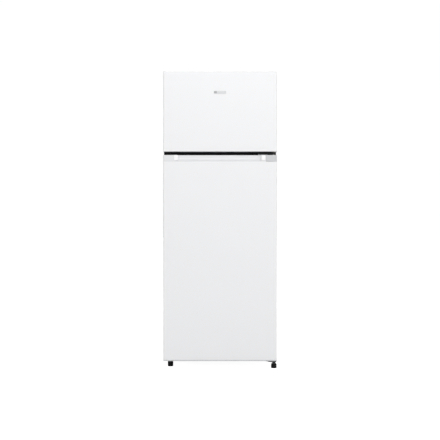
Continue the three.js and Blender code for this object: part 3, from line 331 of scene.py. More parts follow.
def clear(name, colour, roughness, ripple, ior, weight=1.0):
    """Glass or clear polystyrene with the faintest ripple."""
    finish = Finish(name, colour, roughness, IOR=ior, Transmission_Weight=weight)
    cloud = finish.effect(CLOUDY_TONE, Scale=9.0)["Cloud"]
    finish.tint(remap(finish.tree, cloud, 0.0, 0.5), darker(colour, 0.97))
    finish.relief(finish.effect(ORANGE_PEEL, Scale=60.0)["Height"], ripple)
    return finish.material


def soft_rubber(name, colour):
    """Soft grey sealing rubber, chalky with faint lines."""
    finish = Finish(name, colour, 0.62, Sheen_Weight=0.15, Sheen_Roughness=0.4)
    cloud = finish.effect(CLOUDY_TONE, Scale=14.0)["Cloud"]
    finish.tint(cloud, darker(colour, 0.86))
    finish.relief(finish.effect(ORANGE_PEEL, Scale=900.0)["Height"], 0.00006)
    return finish.material


def rigid_foam(name):
    """Yellow polyurethane foam with open cells."""
    colour = (0.80, 0.66, 0.36)
    finish = Finish(name, colour, 0.9)
    flake = finish.effect(SPANGLE, Scale=500.0)["Flake"]
    finish.tint(flake, (0.62, 0.48, 0.22))
    finish.relief(flake, 0.0003)
    return finish.material


MATERIALS = {
    "white_steel": enamel("white_enamel", (0.90, 0.905, 0.915), 0.34, 0.25),
    "white_plastic": moulded("white_plastic", (0.88, 0.89, 0.90), 0.42),
    "liner_plastic": moulded("liner_plastic", (0.88, 0.90, 0.915), 0.33, 320.0, 0.00004, shade=0.96),
    "grey_plastic": moulded("grey_plastic", (0.62, 0.63, 0.64), 0.46),
    "pale_grey_plastic": moulded("pale_grey_plastic", (0.80, 0.805, 0.815), 0.45),
    "black_plastic": moulded("black_plastic", (0.005, 0.005, 0.006), 0.5, 500.0, 0.00008, 0.04, shine=0.2),
    "seal_rubber": soft_rubber("seal_rubber", (0.66, 0.67, 0.68)),
    "foam": rigid_foam("rigid_foam"),
    "zinc_steel": galvanised("galvanised_sheet", (0.62, 0.64, 0.66)),
    "black_steel": black_enamel("black_enamel"),
    "copper": drawn_copper("copper_tube"),
    "aluminium": rolled_metal("rolled_aluminium", (0.80, 0.81, 0.83)),
    "shelf_glass": clear("toughened_glass", (0.94, 0.985, 0.975), 0.02, 0.00001, 1.45),
    "lamp_glass": clear("frosted_glass", (0.98, 0.96, 0.92), 0.35, 0.00002, 1.45, 0.7),
    "clear_plastic": clear("clear_polystyrene", (0.975, 0.985, 0.99), 0.06, 0.00003, 1.3, 0.88),
    "nylon": moulded("natural_nylon", (0.78, 0.76, 0.69), 0.5),
}
# A whiter copy of white_plastic: painted highlight for the grip band's lugs, which catch the light.
PAINTED_HIGHLIGHT_WHITE = moulded("painted_highlight_white_plastic", (0.985, 0.985, 0.985), 0.4, shade=0.99)
PLATED = rolled_metal("zinc_plated_screw", (0.74, 0.74, 0.70), 0.28)
INK = moulded("grey_print", (0.10, 0.11, 0.13), 0.55)
SLATE = moulded("slate_plastic", (0.42, 0.425, 0.435), 0.45)
SOFT_GREY = moulded("soft_grey_plastic", (0.71, 0.715, 0.725), 0.45)


def paint(piece, slot, material=None):
    piece.data.materials.clear()
    piece.data.materials.append(material or MATERIALS[slot])


# ------------------------------------------------------------------ modelling helpers


def deselect():
    bpy.ops.object.select_all(action="DESELECT")


def focus(piece):
    deselect()
    piece.select_set(True)
    bpy.context.view_layer.objects.active = piece


def edit_faces(piece, test):
    """Opens the piece for editing with the faces selected whose middle and normal pass the test."""
    focus(piece)
    bpy.context.tool_settings.mesh_select_mode = (False, False, True)
    mesh = piece.data
    mesh.vertices.foreach_set("select", [False] * len(mesh.vertices))
    mesh.edges.foreach_set("select", [False] * len(mesh.edges))
    mesh.polygons.foreach_set("select", [bool(test(face.center, face.normal)) for face in mesh.polygons])
    bpy.ops.object.mode_set(mode="EDIT")
    bpy.ops.mesh.select_mode(type="FACE")


def leave_edit():
    bpy.ops.object.mode_set(mode="OBJECT")


def round_chosen(piece, chosen, radius, segments):
    """Rounds the edges that a list of true and false marks, one for each edge."""
    focus(piece)
    bpy.context.tool_settings.mesh_select_mode = (False, True, False)
    mesh = piece.data
    mesh.vertices.foreach_set("select", [False] * len(mesh.vertices))
    mesh.polygons.foreach_set("select", [False] * len(mesh.polygons))
    mesh.edges.foreach_set("select", chosen)
    bpy.ops.object.mode_set(mode="EDIT")
    bpy.ops.mesh.select_mode(type="EDGE")
    bpy.ops.mesh.bevel(offset=radius, segments=segments, affect="EDGES")
    leave_edit()


def round_edges(piece, test, radius, segments):
    """Rounds the edges whose two ends pass the test."""
    mesh = piece.data
    ends = [[mesh.vertices[i].co for i in edge.vertices] for edge in mesh.edges]
    round_chosen(piece, [bool(test(a, b)) for a, b in ends], radius, segments)


def near(value, target, reach=0.0002):
    return abs(value - target) < reach


def settle(piece, name):
    """Puts the piece's place and size into its mesh."""
    focus(piece)
    bpy.ops.object.transform_apply(location=True, rotation=True, scale=True)
    piece.name = name
    piece.data.name = name


def smooth(piece, degrees=35.0):
    """Smooth shading across shallow edges, with the large flat faces kept flat."""
    focus(piece)
    bpy.ops.object.shade_smooth_by_angle(angle=math.radians(degrees))
    apply_modifier(piece, "WEIGHTED_NORMAL", keep_sharp=True, weight=80)


def apply_modifier(piece, kind, **values):
    """Adds a modifier with these settings and applies it at once."""
    focus(piece)
    modifier = piece.modifiers.new(kind.lower(), kind)
    for key, value in values.items():
        setattr(modifier, key, value)
    bpy.ops.object.modifier_apply(modifier=modifier.name)


def soften(piece, width, segments=2, degrees=40.0):
    """Rounds every sharp edge of a piece by a small width."""
    apply_modifier(
        piece, "BEVEL", width=width, segments=segments, limit_method="ANGLE",
        angle_limit=math.radians(degrees), miter_outer="MITER_ARC",
    )
    smooth(piece)


def slab(name, low, high):
    """A block between two corners."""
    low, high = Vector(low), Vector(high)
    deselect()
    bpy.ops.mesh.primitive_cube_add(size=1.0, location=(low + high) / 2)
    piece = bpy.context.active_object
    piece.scale = high - low
    settle(piece, name)
    return piece


def rod(name, radius, start, end, sides=24):
    """A round bar from one point to another."""
    start, end = Vector(start), Vector(end)
    deselect()
    bpy.ops.mesh.primitive_cylinder_add(
        vertices=sides, radius=radius, depth=(end - start).length, location=(start + end) / 2
    )
    piece = bpy.context.active_object
    piece.rotation_mode = "QUATERNION"
    piece.rotation_quaternion = (end - start).to_track_quat("Z", "Y")
    settle(piece, name)
    return piece


def merge(pieces, name):
    """Several meshes as one piece."""
    deselect()
    for piece in pieces:
        piece.select_set(True)
    bpy.context.view_layer.objects.active = pieces[0]
    bpy.ops.object.join()
    piece = bpy.context.active_object
    piece.name = name
    piece.data.name = name
    return piece


def copy_of(piece, name):
    """A copy with its own mesh."""
    twin = bpy.data.objects.new(name, piece.data.copy())
    twin.data.name = name
    bpy.context.collection.objects.link(twin)
    return twin


def place(piece, body, slot, material=None, stands_for=()):
    """Gives a finished piece its material and body, and hides the nodes that it stands for."""
    paint(piece, slot, material)
    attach(piece, body)
    if stands_for:
        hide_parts(*stands_for)
    return piece


MERGE_REACH = 0.00001
FLAT_ANGLE = 0.5  # degrees between triangles that count as one flat face


def working_copy(node):
    """The node's own mesh as a new piece, with doubled points merged, open for editing."""
    piece = bpy.data.objects.new(node + "_finished", frame["nodes"][node].data.copy())
    bpy.context.collection.objects.link(piece)
    focus(piece)
    bpy.ops.object.mode_set(mode="EDIT")
    bpy.ops.mesh.select_all(action="SELECT")
    bpy.ops.mesh.remove_doubles(threshold=MERGE_REACH)
    return piece


def joined_faces(node):
    """The node's own shape with the triangles of each flat face joined up."""
    piece = working_copy(node)
    bpy.ops.mesh.dissolve_limited(angle_limit=math.radians(FLAT_ANGLE))
    leave_edit()
    return piece


def refine(node, width, segments=2, slot=None):
    """The node's own shape with its edges softened."""
    piece = joined_faces(node)
    soften(piece, width, segments, 30.0)
    return place(piece, BODY_OF[node], slot or SLOT_OF[node], stands_for=[node])


def rounded_tube(node, levels=1):
    """A tube node with its facets merged and rounded off."""
    piece = working_copy(node)
    bpy.ops.mesh.tris_convert_to_quads()
    leave_edit()
    apply_modifier(piece, "SUBSURF", levels=levels, render_levels=levels)
    smooth(piece, 70.0)
    place(piece, BODY_OF[node], SLOT_OF[node], stands_for=[node])


def ring(name, low, high, width, axis=1):
    """A rectangular ring with a hole along an axis."""
    piece = slab(name, low, high)
    edit_faces(piece, lambda centre, normal: abs(normal[axis]) > 0.9)
    bpy.ops.mesh.inset(thickness=width)
    bpy.ops.mesh.bridge_edge_loops()
    leave_edit()
    return piece


SCREW_RADIUS = 0.0042
SCREW_HEIGHT = 0.0022
SCREW_ROUNDING = SCREW_HEIGHT * 0.45
RECESS_FLOOR = SCREW_HEIGHT * 0.4
RECESS_REACH = 0.55  # as a share of the screw's radius
RECESS_HALF = 0.0005


def screw_heads(name, spots, normal, body, slot, scale=1.0):
    """Pan head screws with a cross recess, one at each spot, facing along a normal."""
    head = rod(name + "_pattern", SCREW_RADIUS * scale, (0, 0, 0), (0, 0, SCREW_HEIGHT))
    round_edges(head, lambda a, b: near(a.z, SCREW_HEIGHT) and near(b.z, SCREW_HEIGHT), SCREW_ROUNDING, 3)
    arm = SCREW_RADIUS * scale * RECESS_REACH
    for x, y in ((arm, RECESS_HALF), (RECESS_HALF, arm)):
        tool = slab("cross", (-x, -y, RECESS_FLOOR), (x, y, SCREW_HEIGHT * 2))
        apply_modifier(head, "BOOLEAN", object=tool, operation="DIFFERENCE", solver="EXACT")
        bpy.data.objects.remove(tool)
    smooth(head, 30.0)
    turn = Vector(normal).to_track_quat("Z", "Y").to_matrix().to_4x4()
    copies = []
    for spot in spots:
        twin = copy_of(head, name)
        twin.data.transform(Matrix.Translation(Vector(spot)) @ turn)
        copies.append(twin)
    bpy.data.objects.remove(head)
    place(merge(copies, name), body, slot, PLATED)


def middle(low, high):
    return (low + high) / 2


def front_to_back(a, b):
    """Whether an edge runs along the depth."""
    return near(a.x, b.x) and near(a.z, b.z)


for name, node in frame["nodes"].items():
    paint(node, SLOT_OF[name])


# ------------------------------------------------------------------ pieces that keep the frame's shape

EDGE_WIDTHS = {
    "outer_wrap": 0.0006,
    "base_plate": 0.0004,
    "niche_panel": 0.0004,
    "centre_rail": 0.0008,
    "compressor_base": 0.0004,
    "top_hinge": 0.0004,
    "bottom_hinge": 0.0008,
    "top_hinge_cover": 0.0016,
    "control_housing": 0.0012,
    "lamp_lens": 0.0008,
    "evaporation_tray": 0.0006,
    "left_front_foot": 0.0008,
    "right_front_foot": 0.0008,
    "left_roller": 0.0008,
    "right_roller": 0.0008,
    "ice_tray": 0.0008,
    "door_switch_plunger": 0.0006,
    "terminal_box": 0.0014,
    "freezer_door_skin": 0.0004,
    "fridge_door_skin": 0.0004,
    "freezer_door_top_cap": 0.0010,
    "freezer_door_bottom_cap": 0.0008,
    "fridge_door_top_cap": 0.0008,
    "fridge_door_bottom_cap": 0.0008,
    "hinge_side_cover": 0.0010,
    "freezer_door_top_bush": 0.0003,
    "freezer_door_bottom_bush": 0.0003,
    "fridge_door_top_bush": 0.0003,
    "fridge_door_bottom_bush": 0.0003,
}

for name, width in EDGE_WIDTHS.items():
    refine(name, width)

rounded_tube("lamp", 2)
for name in ("condenser_coil", "discharge_pipe", "suction_pipe", "filter_drier"):
    rounded_tube(name)


# ------------------------------------------------------------------ cabinet liners

LINER_CORNER = 0.010
LINER_EDGE = 0.0012
SHORTEST_CORNER = 0.1
SHELF_TO_WALL = 0.002
RIB_BELOW_SHELF = 0.0022
RIB_REACH = 0.012
WALL_REACH = 0.001
GLASS_SHELVES = ("glass_shelf_1", "glass_shelf_2", "glass_shelf_3", "crisper_cover", "freezer_shelf")
RIB_TOPS = [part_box(shelf)[0].z + RIB_BELOW_SHELF for shelf in GLASS_SHELVES]


def inner_corners(mesh):
    """The long edges, as pairs of points, where two faces meet at a right angle that opens to the room."""
    faces_of = {}
    for face in mesh.polygons:
        for key in face.edge_keys:
            faces_of.setdefault(key, []).append(face)
    corners = set()
    for key, faces in faces_of.items():
        if len(faces) != 2:
            continue
        first, second = faces
        a, b = (mesh.vertices[i].co for i in key)
        opens = (first.center - second.center).dot(second.normal) > 0
        square = abs(first.normal.dot(second.normal)) < 0.1
        if opens and square and (a - b).length > SHORTEST_CORNER:
            corners.add(tuple(sorted(key)))
    return corners


def on_room_corner(a, b, half):
    """Whether an edge is one of the compartment's own corners and not a shelf rib's."""
    on_side = near(abs(a.x), half, WALL_REACH) and near(abs(b.x), half, WALL_REACH)
    across = near(a.x, -b.x, WALL_REACH)
    along_wall = near(a.x, b.x, WALL_REACH)
    rib = any(near(a.z, top, RIB_REACH) and near(b.z, top, RIB_REACH) for top in RIB_TOPS)
    return on_side and (across or (along_wall and not rib))


def make_liner(node, shelf):
    """A vacuum formed liner: wide round corners inside, soft edges on its ribs."""
    piece = joined_faces(node)
    mesh = piece.data
    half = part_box(shelf)[1].x + SHELF_TO_WALL
    corners = inner_corners(mesh)
    chosen = []
    for edge in mesh.edges:
        a, b = (mesh.vertices[i].co for i in edge.vertices)
        chosen.append(tuple(sorted(edge.vertices)) in corners and on_room_corner(a, b, half))
    round_chosen(piece, chosen, LINER_CORNER, 6)
    soften(piece, LINER_EDGE, 2, 30.0)
    place(piece, "cabinet", "liner_plastic", stands_for=[node])


make_liner("fridge_liner", "crisper_cover")
make_liner("freezer_liner", "freezer_shelf")


# ------------------------------------------------------------------ back panel

WRAP_SHEET = 0.0016
PANEL_CORNER = 0.0064
PANEL_BORDER = 0.028
PRESSED_SLOPE = 0.004
PRESSED_DEPTH = 0.0008
PANEL_EDGE = 0.0004
PANEL_SCREW_INSET = 0.012
PANEL_SCREW_ROWS = 7
PANEL_SCREW_COLUMNS = (-0.13, 0.0, 0.13)


def make_back_panel():
    """The rear sheet, pressed in a little inside its border, with screws along its four edges."""
    low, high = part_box("back_panel")
    high.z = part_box("outer_wrap")[1].z - WRAP_SHEET
    sheet = slab("back_panel_sheet", low, high)
    edit_faces(sheet, lambda centre, normal: normal.y > 0.9)
    bpy.ops.mesh.inset(thickness=PANEL_BORDER)
    bpy.ops.mesh.inset(thickness=PRESSED_SLOPE, depth=-PRESSED_DEPTH)
    leave_edit()

    def top_corner(a, b):
        return near(a.z, high.z) and near(b.z, high.z) and near(a.x, b.x) and near(abs(a.x), high.x)

    round_edges(sheet, top_corner, PANEL_CORNER, 6)
    soften(sheet, PANEL_EDGE, 2, 8.0)
    place(sheet, "cabinet", "zinc_steel", stands_for=["back_panel"])

    side = high.x - PANEL_SCREW_INSET
    lowest = low.z + PANEL_SCREW_INSET
    highest = high.z - PANEL_SCREW_INSET
    step = (highest - lowest) / (PANEL_SCREW_ROWS - 1)
    rows = [lowest + row * step for row in range(PANEL_SCREW_ROWS)]
    spots = [(x, high.y, z) for x in (-side, side) for z in rows]
    spots += [(x, high.y, z) for x in PANEL_SCREW_COLUMNS for z in (lowest, highest)]
    screw_heads("back_panel_screws", spots, (0, 1, 0), "cabinet", "zinc_steel")


make_back_panel()


# ------------------------------------------------------------------ cooling circuit

DRIER_RADIUS = 0.0092
DRIER_INSET = 0.0437
DRIER_SETBACK = 0.025
DRIER_BOTTOM = 0.101
DRIER_TOP = 0.171
DRIER_SHOULDER = 0.0042


def make_drier_canister():
    """The canister of the filter drier, with its shoulders rounded."""
    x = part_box("filter_drier")[0].x + DRIER_INSET
    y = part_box("niche_panel")[1].y - DRIER_SETBACK
    canister = rod("drier_canister", DRIER_RADIUS, (x, y, DRIER_BOTTOM), (x, y, DRIER_TOP), 40)
    round_edges(canister, lambda a, b: near(a.z, b.z), DRIER_SHOULDER, 5)
    smooth(canister)
    place(canister, "cabinet", "copper")


COIL_TUBE = 0.0025
WIRE_RADIUS = 0.0007
WIRE_PITCH = 0.0072
WIRE_COUNT = 55
WIRE_OVERHANG = 0.006


def make_condenser_wires():
    """A row of upright wires on each side of the condenser's tube, each half melted into it."""
    low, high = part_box("condenser_coil")
    x = -WIRE_PITCH * (WIRE_COUNT - 1) / 2
    rows = []
    for side in (-1, 1):
        y = high.y - COIL_TUBE + side * (COIL_TUBE + WIRE_RADIUS * 0.5)
        wire = rod("wire", WIRE_RADIUS, (x, y, low.z - WIRE_OVERHANG), (x, y, high.z + WIRE_OVERHANG), 8)
        apply_modifier(
            wire, "ARRAY", count=WIRE_COUNT, use_relative_offset=False,
            use_constant_offset=True, constant_offset_displace=(WIRE_PITCH, 0.0, 0.0),
        )
        smooth(wire, 60.0)
        rows.append(wire)
    place(merge(rows, "condenser_wires"), "cabinet", "black_steel")


make_drier_canister()
make_condenser_wires()


# ------------------------------------------------------------------ compressor

SHELL_RADIUS = 0.092
SHELL_DEPTH = 0.7  # the shell is an oval, this much as deep as it is wide
SHELL_SHOULDER = 0.040
SHELL_SUNK = 0.002
SEAM_DEPTH = SHELL_DEPTH * 1.01
SEAMS = ((0.004, 0.0955), (0.0016, 0.0962))  # height and radius of each ring of the welded seam
PLATE_THICKNESS = 0.003
PLATE_HALF_WIDTH = 0.095
PLATE_HALF_DEPTH = 0.055
PLATE_CORNER = 0.014
STUB_RADIUS = 0.005
STUB_HEIGHTS = (-0.020, 0.018)
STUB_END = 0.06
COLLAR_RADIUS = 0.0072
COLLAR_OUTER = 0.097
COLLAR_INNER = 0.080
BOLT_X = 0.080
BOLT_Y = 0.041
BOLT_SCALE = 1.3
GROMMET_RADIUS = 0.0105
GROMMET_DROP = 0.0078
GROMMET_COLLAR_RADIUS = 0.0080
GROMMET_COLLAR_RISE = 0.0045
GROMMET_COLLAR_SUNK = 0.0005
SEATED = 0.0001  # how far a piece sinks into the one it rests on
DRUM_SIDES = 72
SEAM_EDGE = 0.0006
PLATE_EDGE = 0.0006
STUB_EDGE = 0.0008
COLLAR_EDGE = 0.0016
GROMMET_EDGE = 0.0018
GROMMET_COLLAR_EDGE = 0.0012


def oval_drum(name, radius, height, centre, depth):
    """An upright drum, squeezed from front to back."""
    deselect()
    bpy.ops.mesh.primitive_cylinder_add(vertices=DRUM_SIDES, radius=radius, depth=height, location=centre)
    drum = bpy.context.active_object
    drum.scale = (1.0, depth, 1.0)
    settle(drum, name)
    return drum


def make_compressor():
    """A welded shell on a pressed plate, with two pipe stubs, four rubber grommets and their bolts."""
    low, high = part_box("compressor")
    tray_low, tray_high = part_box("evaporation_tray")
    plate_top = low.z + PLATE_THICKNESS
    shell_bottom = plate_top - SHELL_SUNK
    x = middle(tray_low.x, tray_high.x)
    y = middle(low.y, high.y)
    z = middle(shell_bottom, high.z)

    shell = oval_drum("shell", SHELL_RADIUS, high.z - shell_bottom, (x, y, z), SHELL_DEPTH)
    edit_faces(shell, lambda centre, normal: abs(normal.z) > 0.9)
    bpy.ops.mesh.bevel(offset=SHELL_SHOULDER, segments=12, affect="EDGES", clamp_overlap=True)
    leave_edit()
    smooth(shell, 40.0)
    parts = [shell]
    for height, radius in SEAMS:
        seam = oval_drum("seam", radius, height, (x, y, z), SEAM_DEPTH)
        soften(seam, SEAM_EDGE, 3)
        parts.append(seam)
    plate = slab(
        "plate", (x - PLATE_HALF_WIDTH, y - PLATE_HALF_DEPTH, low.z),
        (x + PLATE_HALF_WIDTH, y + PLATE_HALF_DEPTH, plate_top),
    )
    round_edges(plate, lambda a, b: near(a.x, b.x) and near(a.y, b.y), PLATE_CORNER, 6)
    soften(plate, PLATE_EDGE)
    parts.append(plate)
    for height in STUB_HEIGHTS:
        stub = rod("stub", STUB_RADIUS, (low.x, y, z + height), (x - STUB_END, y, z + height))
        soften(stub, STUB_EDGE)
        collar = rod(
            "collar", COLLAR_RADIUS, (x - COLLAR_OUTER, y, z + height), (x - COLLAR_INNER, y, z + height)
        )
        soften(collar, COLLAR_EDGE, 3)
        parts += [stub, collar]
    place(merge(parts, "compressor_shell"), "cabinet", "black_steel", stands_for=["compressor"])

    spots = [(x + i * BOLT_X, y + j * BOLT_Y) for i in (-1, 1) for j in (-1, 1)]
    grommets = []
    for u, v in spots:
        lower = rod("grommet", GROMMET_RADIUS, (u, v, low.z - GROMMET_DROP), (u, v, low.z + SEATED), 32)
        soften(lower, GROMMET_EDGE, 3)
        upper = rod(
            "grommet", GROMMET_COLLAR_RADIUS, (u, v, plate_top - GROMMET_COLLAR_SUNK),
            (u, v, plate_top + GROMMET_COLLAR_RISE), 32,
        )
        soften(upper, GROMMET_COLLAR_EDGE, 3)
        grommets += [lower, upper]
    place(merge(grommets, "compressor_grommets"), "cabinet", "black_plastic")
    seats = [(u, v, plate_top + GROMMET_COLLAR_RISE - SEATED) for u, v in spots]
    screw_heads("compressor_bolts", seats, (0, 0, 1), "cabinet", "zinc_steel", BOLT_SCALE)


make_compressor()


# ------------------------------------------------------------------ shelves

PANE_THICKNESS = 0.004
PANE_LIFT = 0.0025
PANE_FRONT_GAP = 0.002
PANE_BACK_GAP = 0.001
FRONT_TRIM = 0.013
FRONT_ROUNDING = 0.0034
LIP_SETBACK = 0.001
LIP_DEPTH = 0.004
LIP_RISE = 0.0012
LIP_SUNK = 0.001
BACK_TRIM = 0.011
BACK_RISE = 0.006
BACK_LIFT = 0.0005
PANE_EDGE = 0.0007
FRONT_EDGE = 0.0005
LIP_EDGE = 0.0009
BACK_EDGE = 0.0016


def glass_shelf(node):
    """A toughened pane with a moulded trim along its front and its back edge."""
    low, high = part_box(node)
    pane_low = low.z + PANE_LIFT
    pane = slab(
        node + "_pane", (low.x, low.y + PANE_FRONT_GAP, pane_low),
        (high.x, high.y - PANE_BACK_GAP, pane_low + PANE_THICKNESS),
    )
    soften(pane, PANE_EDGE)
    place(pane, "cabinet", "shelf_glass", stands_for=[node])

    front = slab("front", low, (high.x, low.y + FRONT_TRIM, high.z))
    round_edges(
        front, lambda a, b: near(a.y, low.y) and near(b.y, low.y) and near(a.z, b.z), FRONT_ROUNDING, 5
    )
    soften(front, FRONT_EDGE)
    lip_front = low.y + LIP_SETBACK
    lip = slab(
        "lip", (low.x, lip_front, high.z - LIP_SUNK), (high.x, lip_front + LIP_DEPTH, high.z + LIP_RISE)
    )
    soften(lip, LIP_EDGE, 3)
    back = slab("back", (low.x, high.y - BACK_TRIM, low.z + BACK_LIFT), (high.x, high.y, high.z + BACK_RISE))
    soften(back, BACK_EDGE, 3)
    place(merge([front, lip, back], node + "_trims"), "cabinet", "white_plastic")


for name in GLASS_SHELVES:
    glass_shelf(name)


# ------------------------------------------------------------------ drain channel

LINER_WALL = 0.002
CHANNEL_HALF = 0.185
CHANNEL_TOP = 0.312
CHANNEL_HEIGHT = 0.010
CHANNEL_REACH = 0.007
CHANNEL_WALL = 0.0012
CHANNEL_SLOPE = 0.0006
CHANNEL_DEPTH = 0.005
INTO_WALL = 0.0005
SPOUT_RADIUS = 0.0065
SPOUT_REACH = 0.0060
SPOUT_BOTTOM = CHANNEL_TOP - 0.022
SPOUT_TOP = CHANNEL_TOP - 0.004
CHANNEL_EDGE = 0.0005
SPOUT_EDGE = 0.0010


def make_drain_channel():
    """The channel on the fridge's back wall that leads melt water to the drain."""
    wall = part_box("fridge_liner")[1].y - LINER_WALL
    channel = slab(
        "channel", (-CHANNEL_HALF, wall - CHANNEL_REACH, CHANNEL_TOP - CHANNEL_HEIGHT),
        (CHANNEL_HALF, wall + INTO_WALL, CHANNEL_TOP),
    )
    edit_faces(channel, lambda centre, normal: normal.z > 0.9)
    bpy.ops.mesh.inset(thickness=CHANNEL_WALL)
    bpy.ops.mesh.inset(thickness=CHANNEL_SLOPE, depth=-CHANNEL_DEPTH)
    leave_edit()
    soften(channel, CHANNEL_EDGE)
    y = wall - SPOUT_REACH
    spout = rod("spout", SPOUT_RADIUS, (0.0, y, SPOUT_BOTTOM), (0.0, y, SPOUT_TOP), 32)
    soften(spout, SPOUT_EDGE, 3)
    place(merge([channel, spout], "drain_channel"), "cabinet", "liner_plastic")


make_drain_channel()


# ------------------------------------------------------------------ drawer and balconies

RIM_WIDTH = 0.0030
RIM_STAND = 0.0004
BALCONY_RIM = 0.008
DRAWER_RIM = 0.006
DRAWER_GRIP = 0.012  # the drawer's rim starts this far behind its grip
BOX_EDGE = 0.0009
BALCONIES = (
    "freezer_door_lower_balcony", "freezer_door_upper_balcony", "fridge_door_bottle_rack",
    "fridge_door_middle_balcony", "fridge_door_upper_balcony",
)


def clear_box(node, rim_height, grip=0.0):
    """A clear moulded box: softened walls and a thicker rim round its mouth."""
    refine(node, BOX_EDGE, 3)
    low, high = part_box(node)
    rim = ring(
        node + "_rim", (low.x - RIM_STAND, low.y + grip - RIM_STAND, high.z - rim_height),
        (high.x + RIM_STAND, high.y + RIM_STAND, high.z + RIM_STAND), RIM_WIDTH, axis=2,
    )
    soften(rim, BOX_EDGE, 3)
    place(rim, BODY_OF[node], "clear_plastic")


for name in BALCONIES:
    clear_box(name, BALCONY_RIM)
clear_box("crisper_drawer", DRAWER_RIM, DRAWER_GRIP)


# ------------------------------------------------------------------ door seals and liners

DYKE_EDGE = 0.0022

# Each ring of a seal from the door outwards: its inset, where it starts and ends as shares of the seal's
# depth, its width, and how far and in how many steps its edges are rounded.
SEAL_RINGS = {
    "foot": (0.0, 0.0, 0.28, 0.018, 0.0009, 3),
    "waist": (0.004, 0.2, 0.6, 0.010, 0.0008, 3),
    "pocket": (0.001, 0.5, 1.0, 0.015, 0.0019, 4),
}


def door_seal(node):
    """A magnetic seal: a flat foot, a bellows waist and a rounded magnet pocket."""
    low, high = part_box(node)
    depth = high.y - low.y
    parts = []
    for name, (inset, start, end, width, rounding, segments) in SEAL_RINGS.items():
        first = (low.x + inset, low.y + depth * start, low.z + inset)
        last = (high.x - inset, low.y + depth * end, high.z - inset)
        part = ring(name, first, last, width)
        soften(part, rounding, segments)
        parts.append(part)
    place(merge(parts, node + "_bellows"), BODY_OF[node], "seal_rubber", stands_for=[node])


for name in ("freezer_door_gasket", "fridge_door_gasket"):
    door_seal(name)
for name in ("freezer_door_liner", "fridge_door_liner"):
    refine(name, DYKE_EDGE, 4)


# ------------------------------------------------------------------ badge

BADGE_CORNER = 0.0030
MARK_CORNER = 0.0022
MARK_INSET = 0.0015
MARK_END = 0.0150
MARK_STAND = 0.0003
MARK_SUNK = 0.0004
BADGE_EDGE = 0.0004
MARK_EDGE = 0.0002


def make_badge():
    """A plain plate with a plain darker mark at its left end."""
    low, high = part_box("badge")
    plate = slab("badge_plate", low, high)
    round_edges(plate, front_to_back, BADGE_CORNER, 6)
    soften(plate, BADGE_EDGE)
    place(plate, "freezer_door", SLOT_OF["badge"], SOFT_GREY, stands_for=["badge"])
    mark = slab(
        "badge_mark", (low.x + MARK_INSET, low.y - MARK_STAND, low.z + MARK_INSET),
        (low.x + MARK_END, low.y + MARK_SUNK, high.z - MARK_INSET),
    )
    round_edges(mark, front_to_back, MARK_CORNER, 6)
    soften(mark, MARK_EDGE)
    place(mark, "freezer_door", SLOT_OF["badge"], SLATE)


make_badge()


# ------------------------------------------------------------------ thermostat

KNOB_EDGE = 0.0008
DIAL_RADIUS = 0.0196
DIAL_START = math.radians(225.0)
DIAL_SWEEP = math.radians(270.0)
DIAL_NUMBERS = 8
DIGIT_SIZE = 0.0044
DIGIT_DEPTH = 0.00006
DIGIT_STAND = 0.00002


def digit_mesh(number, spot):
    """A printed number that stands a hair off the housing, facing -Y."""
    deselect()
    bpy.ops.object.text_add(location=(0, 0, 0))
    label = bpy.context.active_object
    label.data.body = str(number)
    label.data.size = DIGIT_SIZE
    label.data.align_x = "CENTER"
    label.data.align_y = "CENTER"
    label.data.extrude = DIGIT_DEPTH
    focus(label)
    bpy.ops.object.convert(target="MESH")
    label = bpy.context.active_object
    label.data.transform(Matrix.Translation(spot) @ Matrix.Rotation(math.pi / 2, 4, "X"))
    return label


def make_thermostat():
    """The knob, turned so that its pointer rests at 0, and the numbers round it."""
    low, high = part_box("thermostat_knob")
    x, z = middle(low.x, high.x), middle(low.z, high.z)
    knob = refine("thermostat_knob", KNOB_EDGE)
    axis = Matrix.Translation((x, 0.0, z))
    knob.data.transform(axis @ Matrix.Rotation(math.pi / 2 - DIAL_START, 4, "Y") @ axis.inverted())
    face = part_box("control_housing")[0].y - DIGIT_STAND
    digits = []
    for number in range(DIAL_NUMBERS):
        angle = DIAL_START - number * DIAL_SWEEP / (DIAL_NUMBERS - 1)
        spot = Vector((x + DIAL_RADIUS * math.cos(angle), face, z + DIAL_RADIUS * math.sin(angle)))
        digits.append(digit_mesh(number, spot))
    place(merge(digits, "dial_numbers"), "cabinet", "grey_plastic", INK)


make_thermostat()


# ------------------------------------------------------------------ middle hinge

HINGE_EDGE = 0.0006
FLANGE_SHEET = 0.0024
TAB_ABOVE_DOOR = 0.001
TAB_WIDTH = 0.046
TAB_HEIGHT = 0.0065
TAB_SHEET = 0.0014
TAB_SUNK = 0.0002
TAB_EDGE = 0.0005
TAB_SCREW_INSET = 0.009
TAB_SCREW_RISE = 0.0033
TAB_SCREW_SCALE = 0.6


def make_middle_hinge():
    """The hinge in the gap, coloured black as painted shade for the gap's shadow, with a plated tab screwed
    to the front of its flange.
    """
    # black_steel here is painted shade: it darkens the hinge into the shadow between the doors.
    refine("middle_hinge", HINGE_EDGE, slot="black_steel")
    low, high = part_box("middle_hinge")
    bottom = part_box("fridge_door_top_cap")[1].z + TAB_ABOVE_DOOR
    front = high.y - FLANGE_SHEET
    tab = slab(
        "middle_hinge_tab", (low.x, front - TAB_SHEET, bottom),
        (low.x + TAB_WIDTH, front + TAB_SUNK, bottom + TAB_HEIGHT),
    )
    soften(tab, TAB_EDGE)
    place(tab, "cabinet", "zinc_steel")
    head_seat = front - TAB_SHEET + SEATED
    ends = (low.x + TAB_SCREW_INSET, low.x + TAB_WIDTH - TAB_SCREW_INSET)
    spots = [(x, head_seat, bottom + TAB_SCREW_RISE) for x in ends]
    screw_heads("middle_hinge_screws", spots, (0, -1, 0), "cabinet", "zinc_steel", TAB_SCREW_SCALE)


make_middle_hinge()


# ------------------------------------------------------------------ grip band

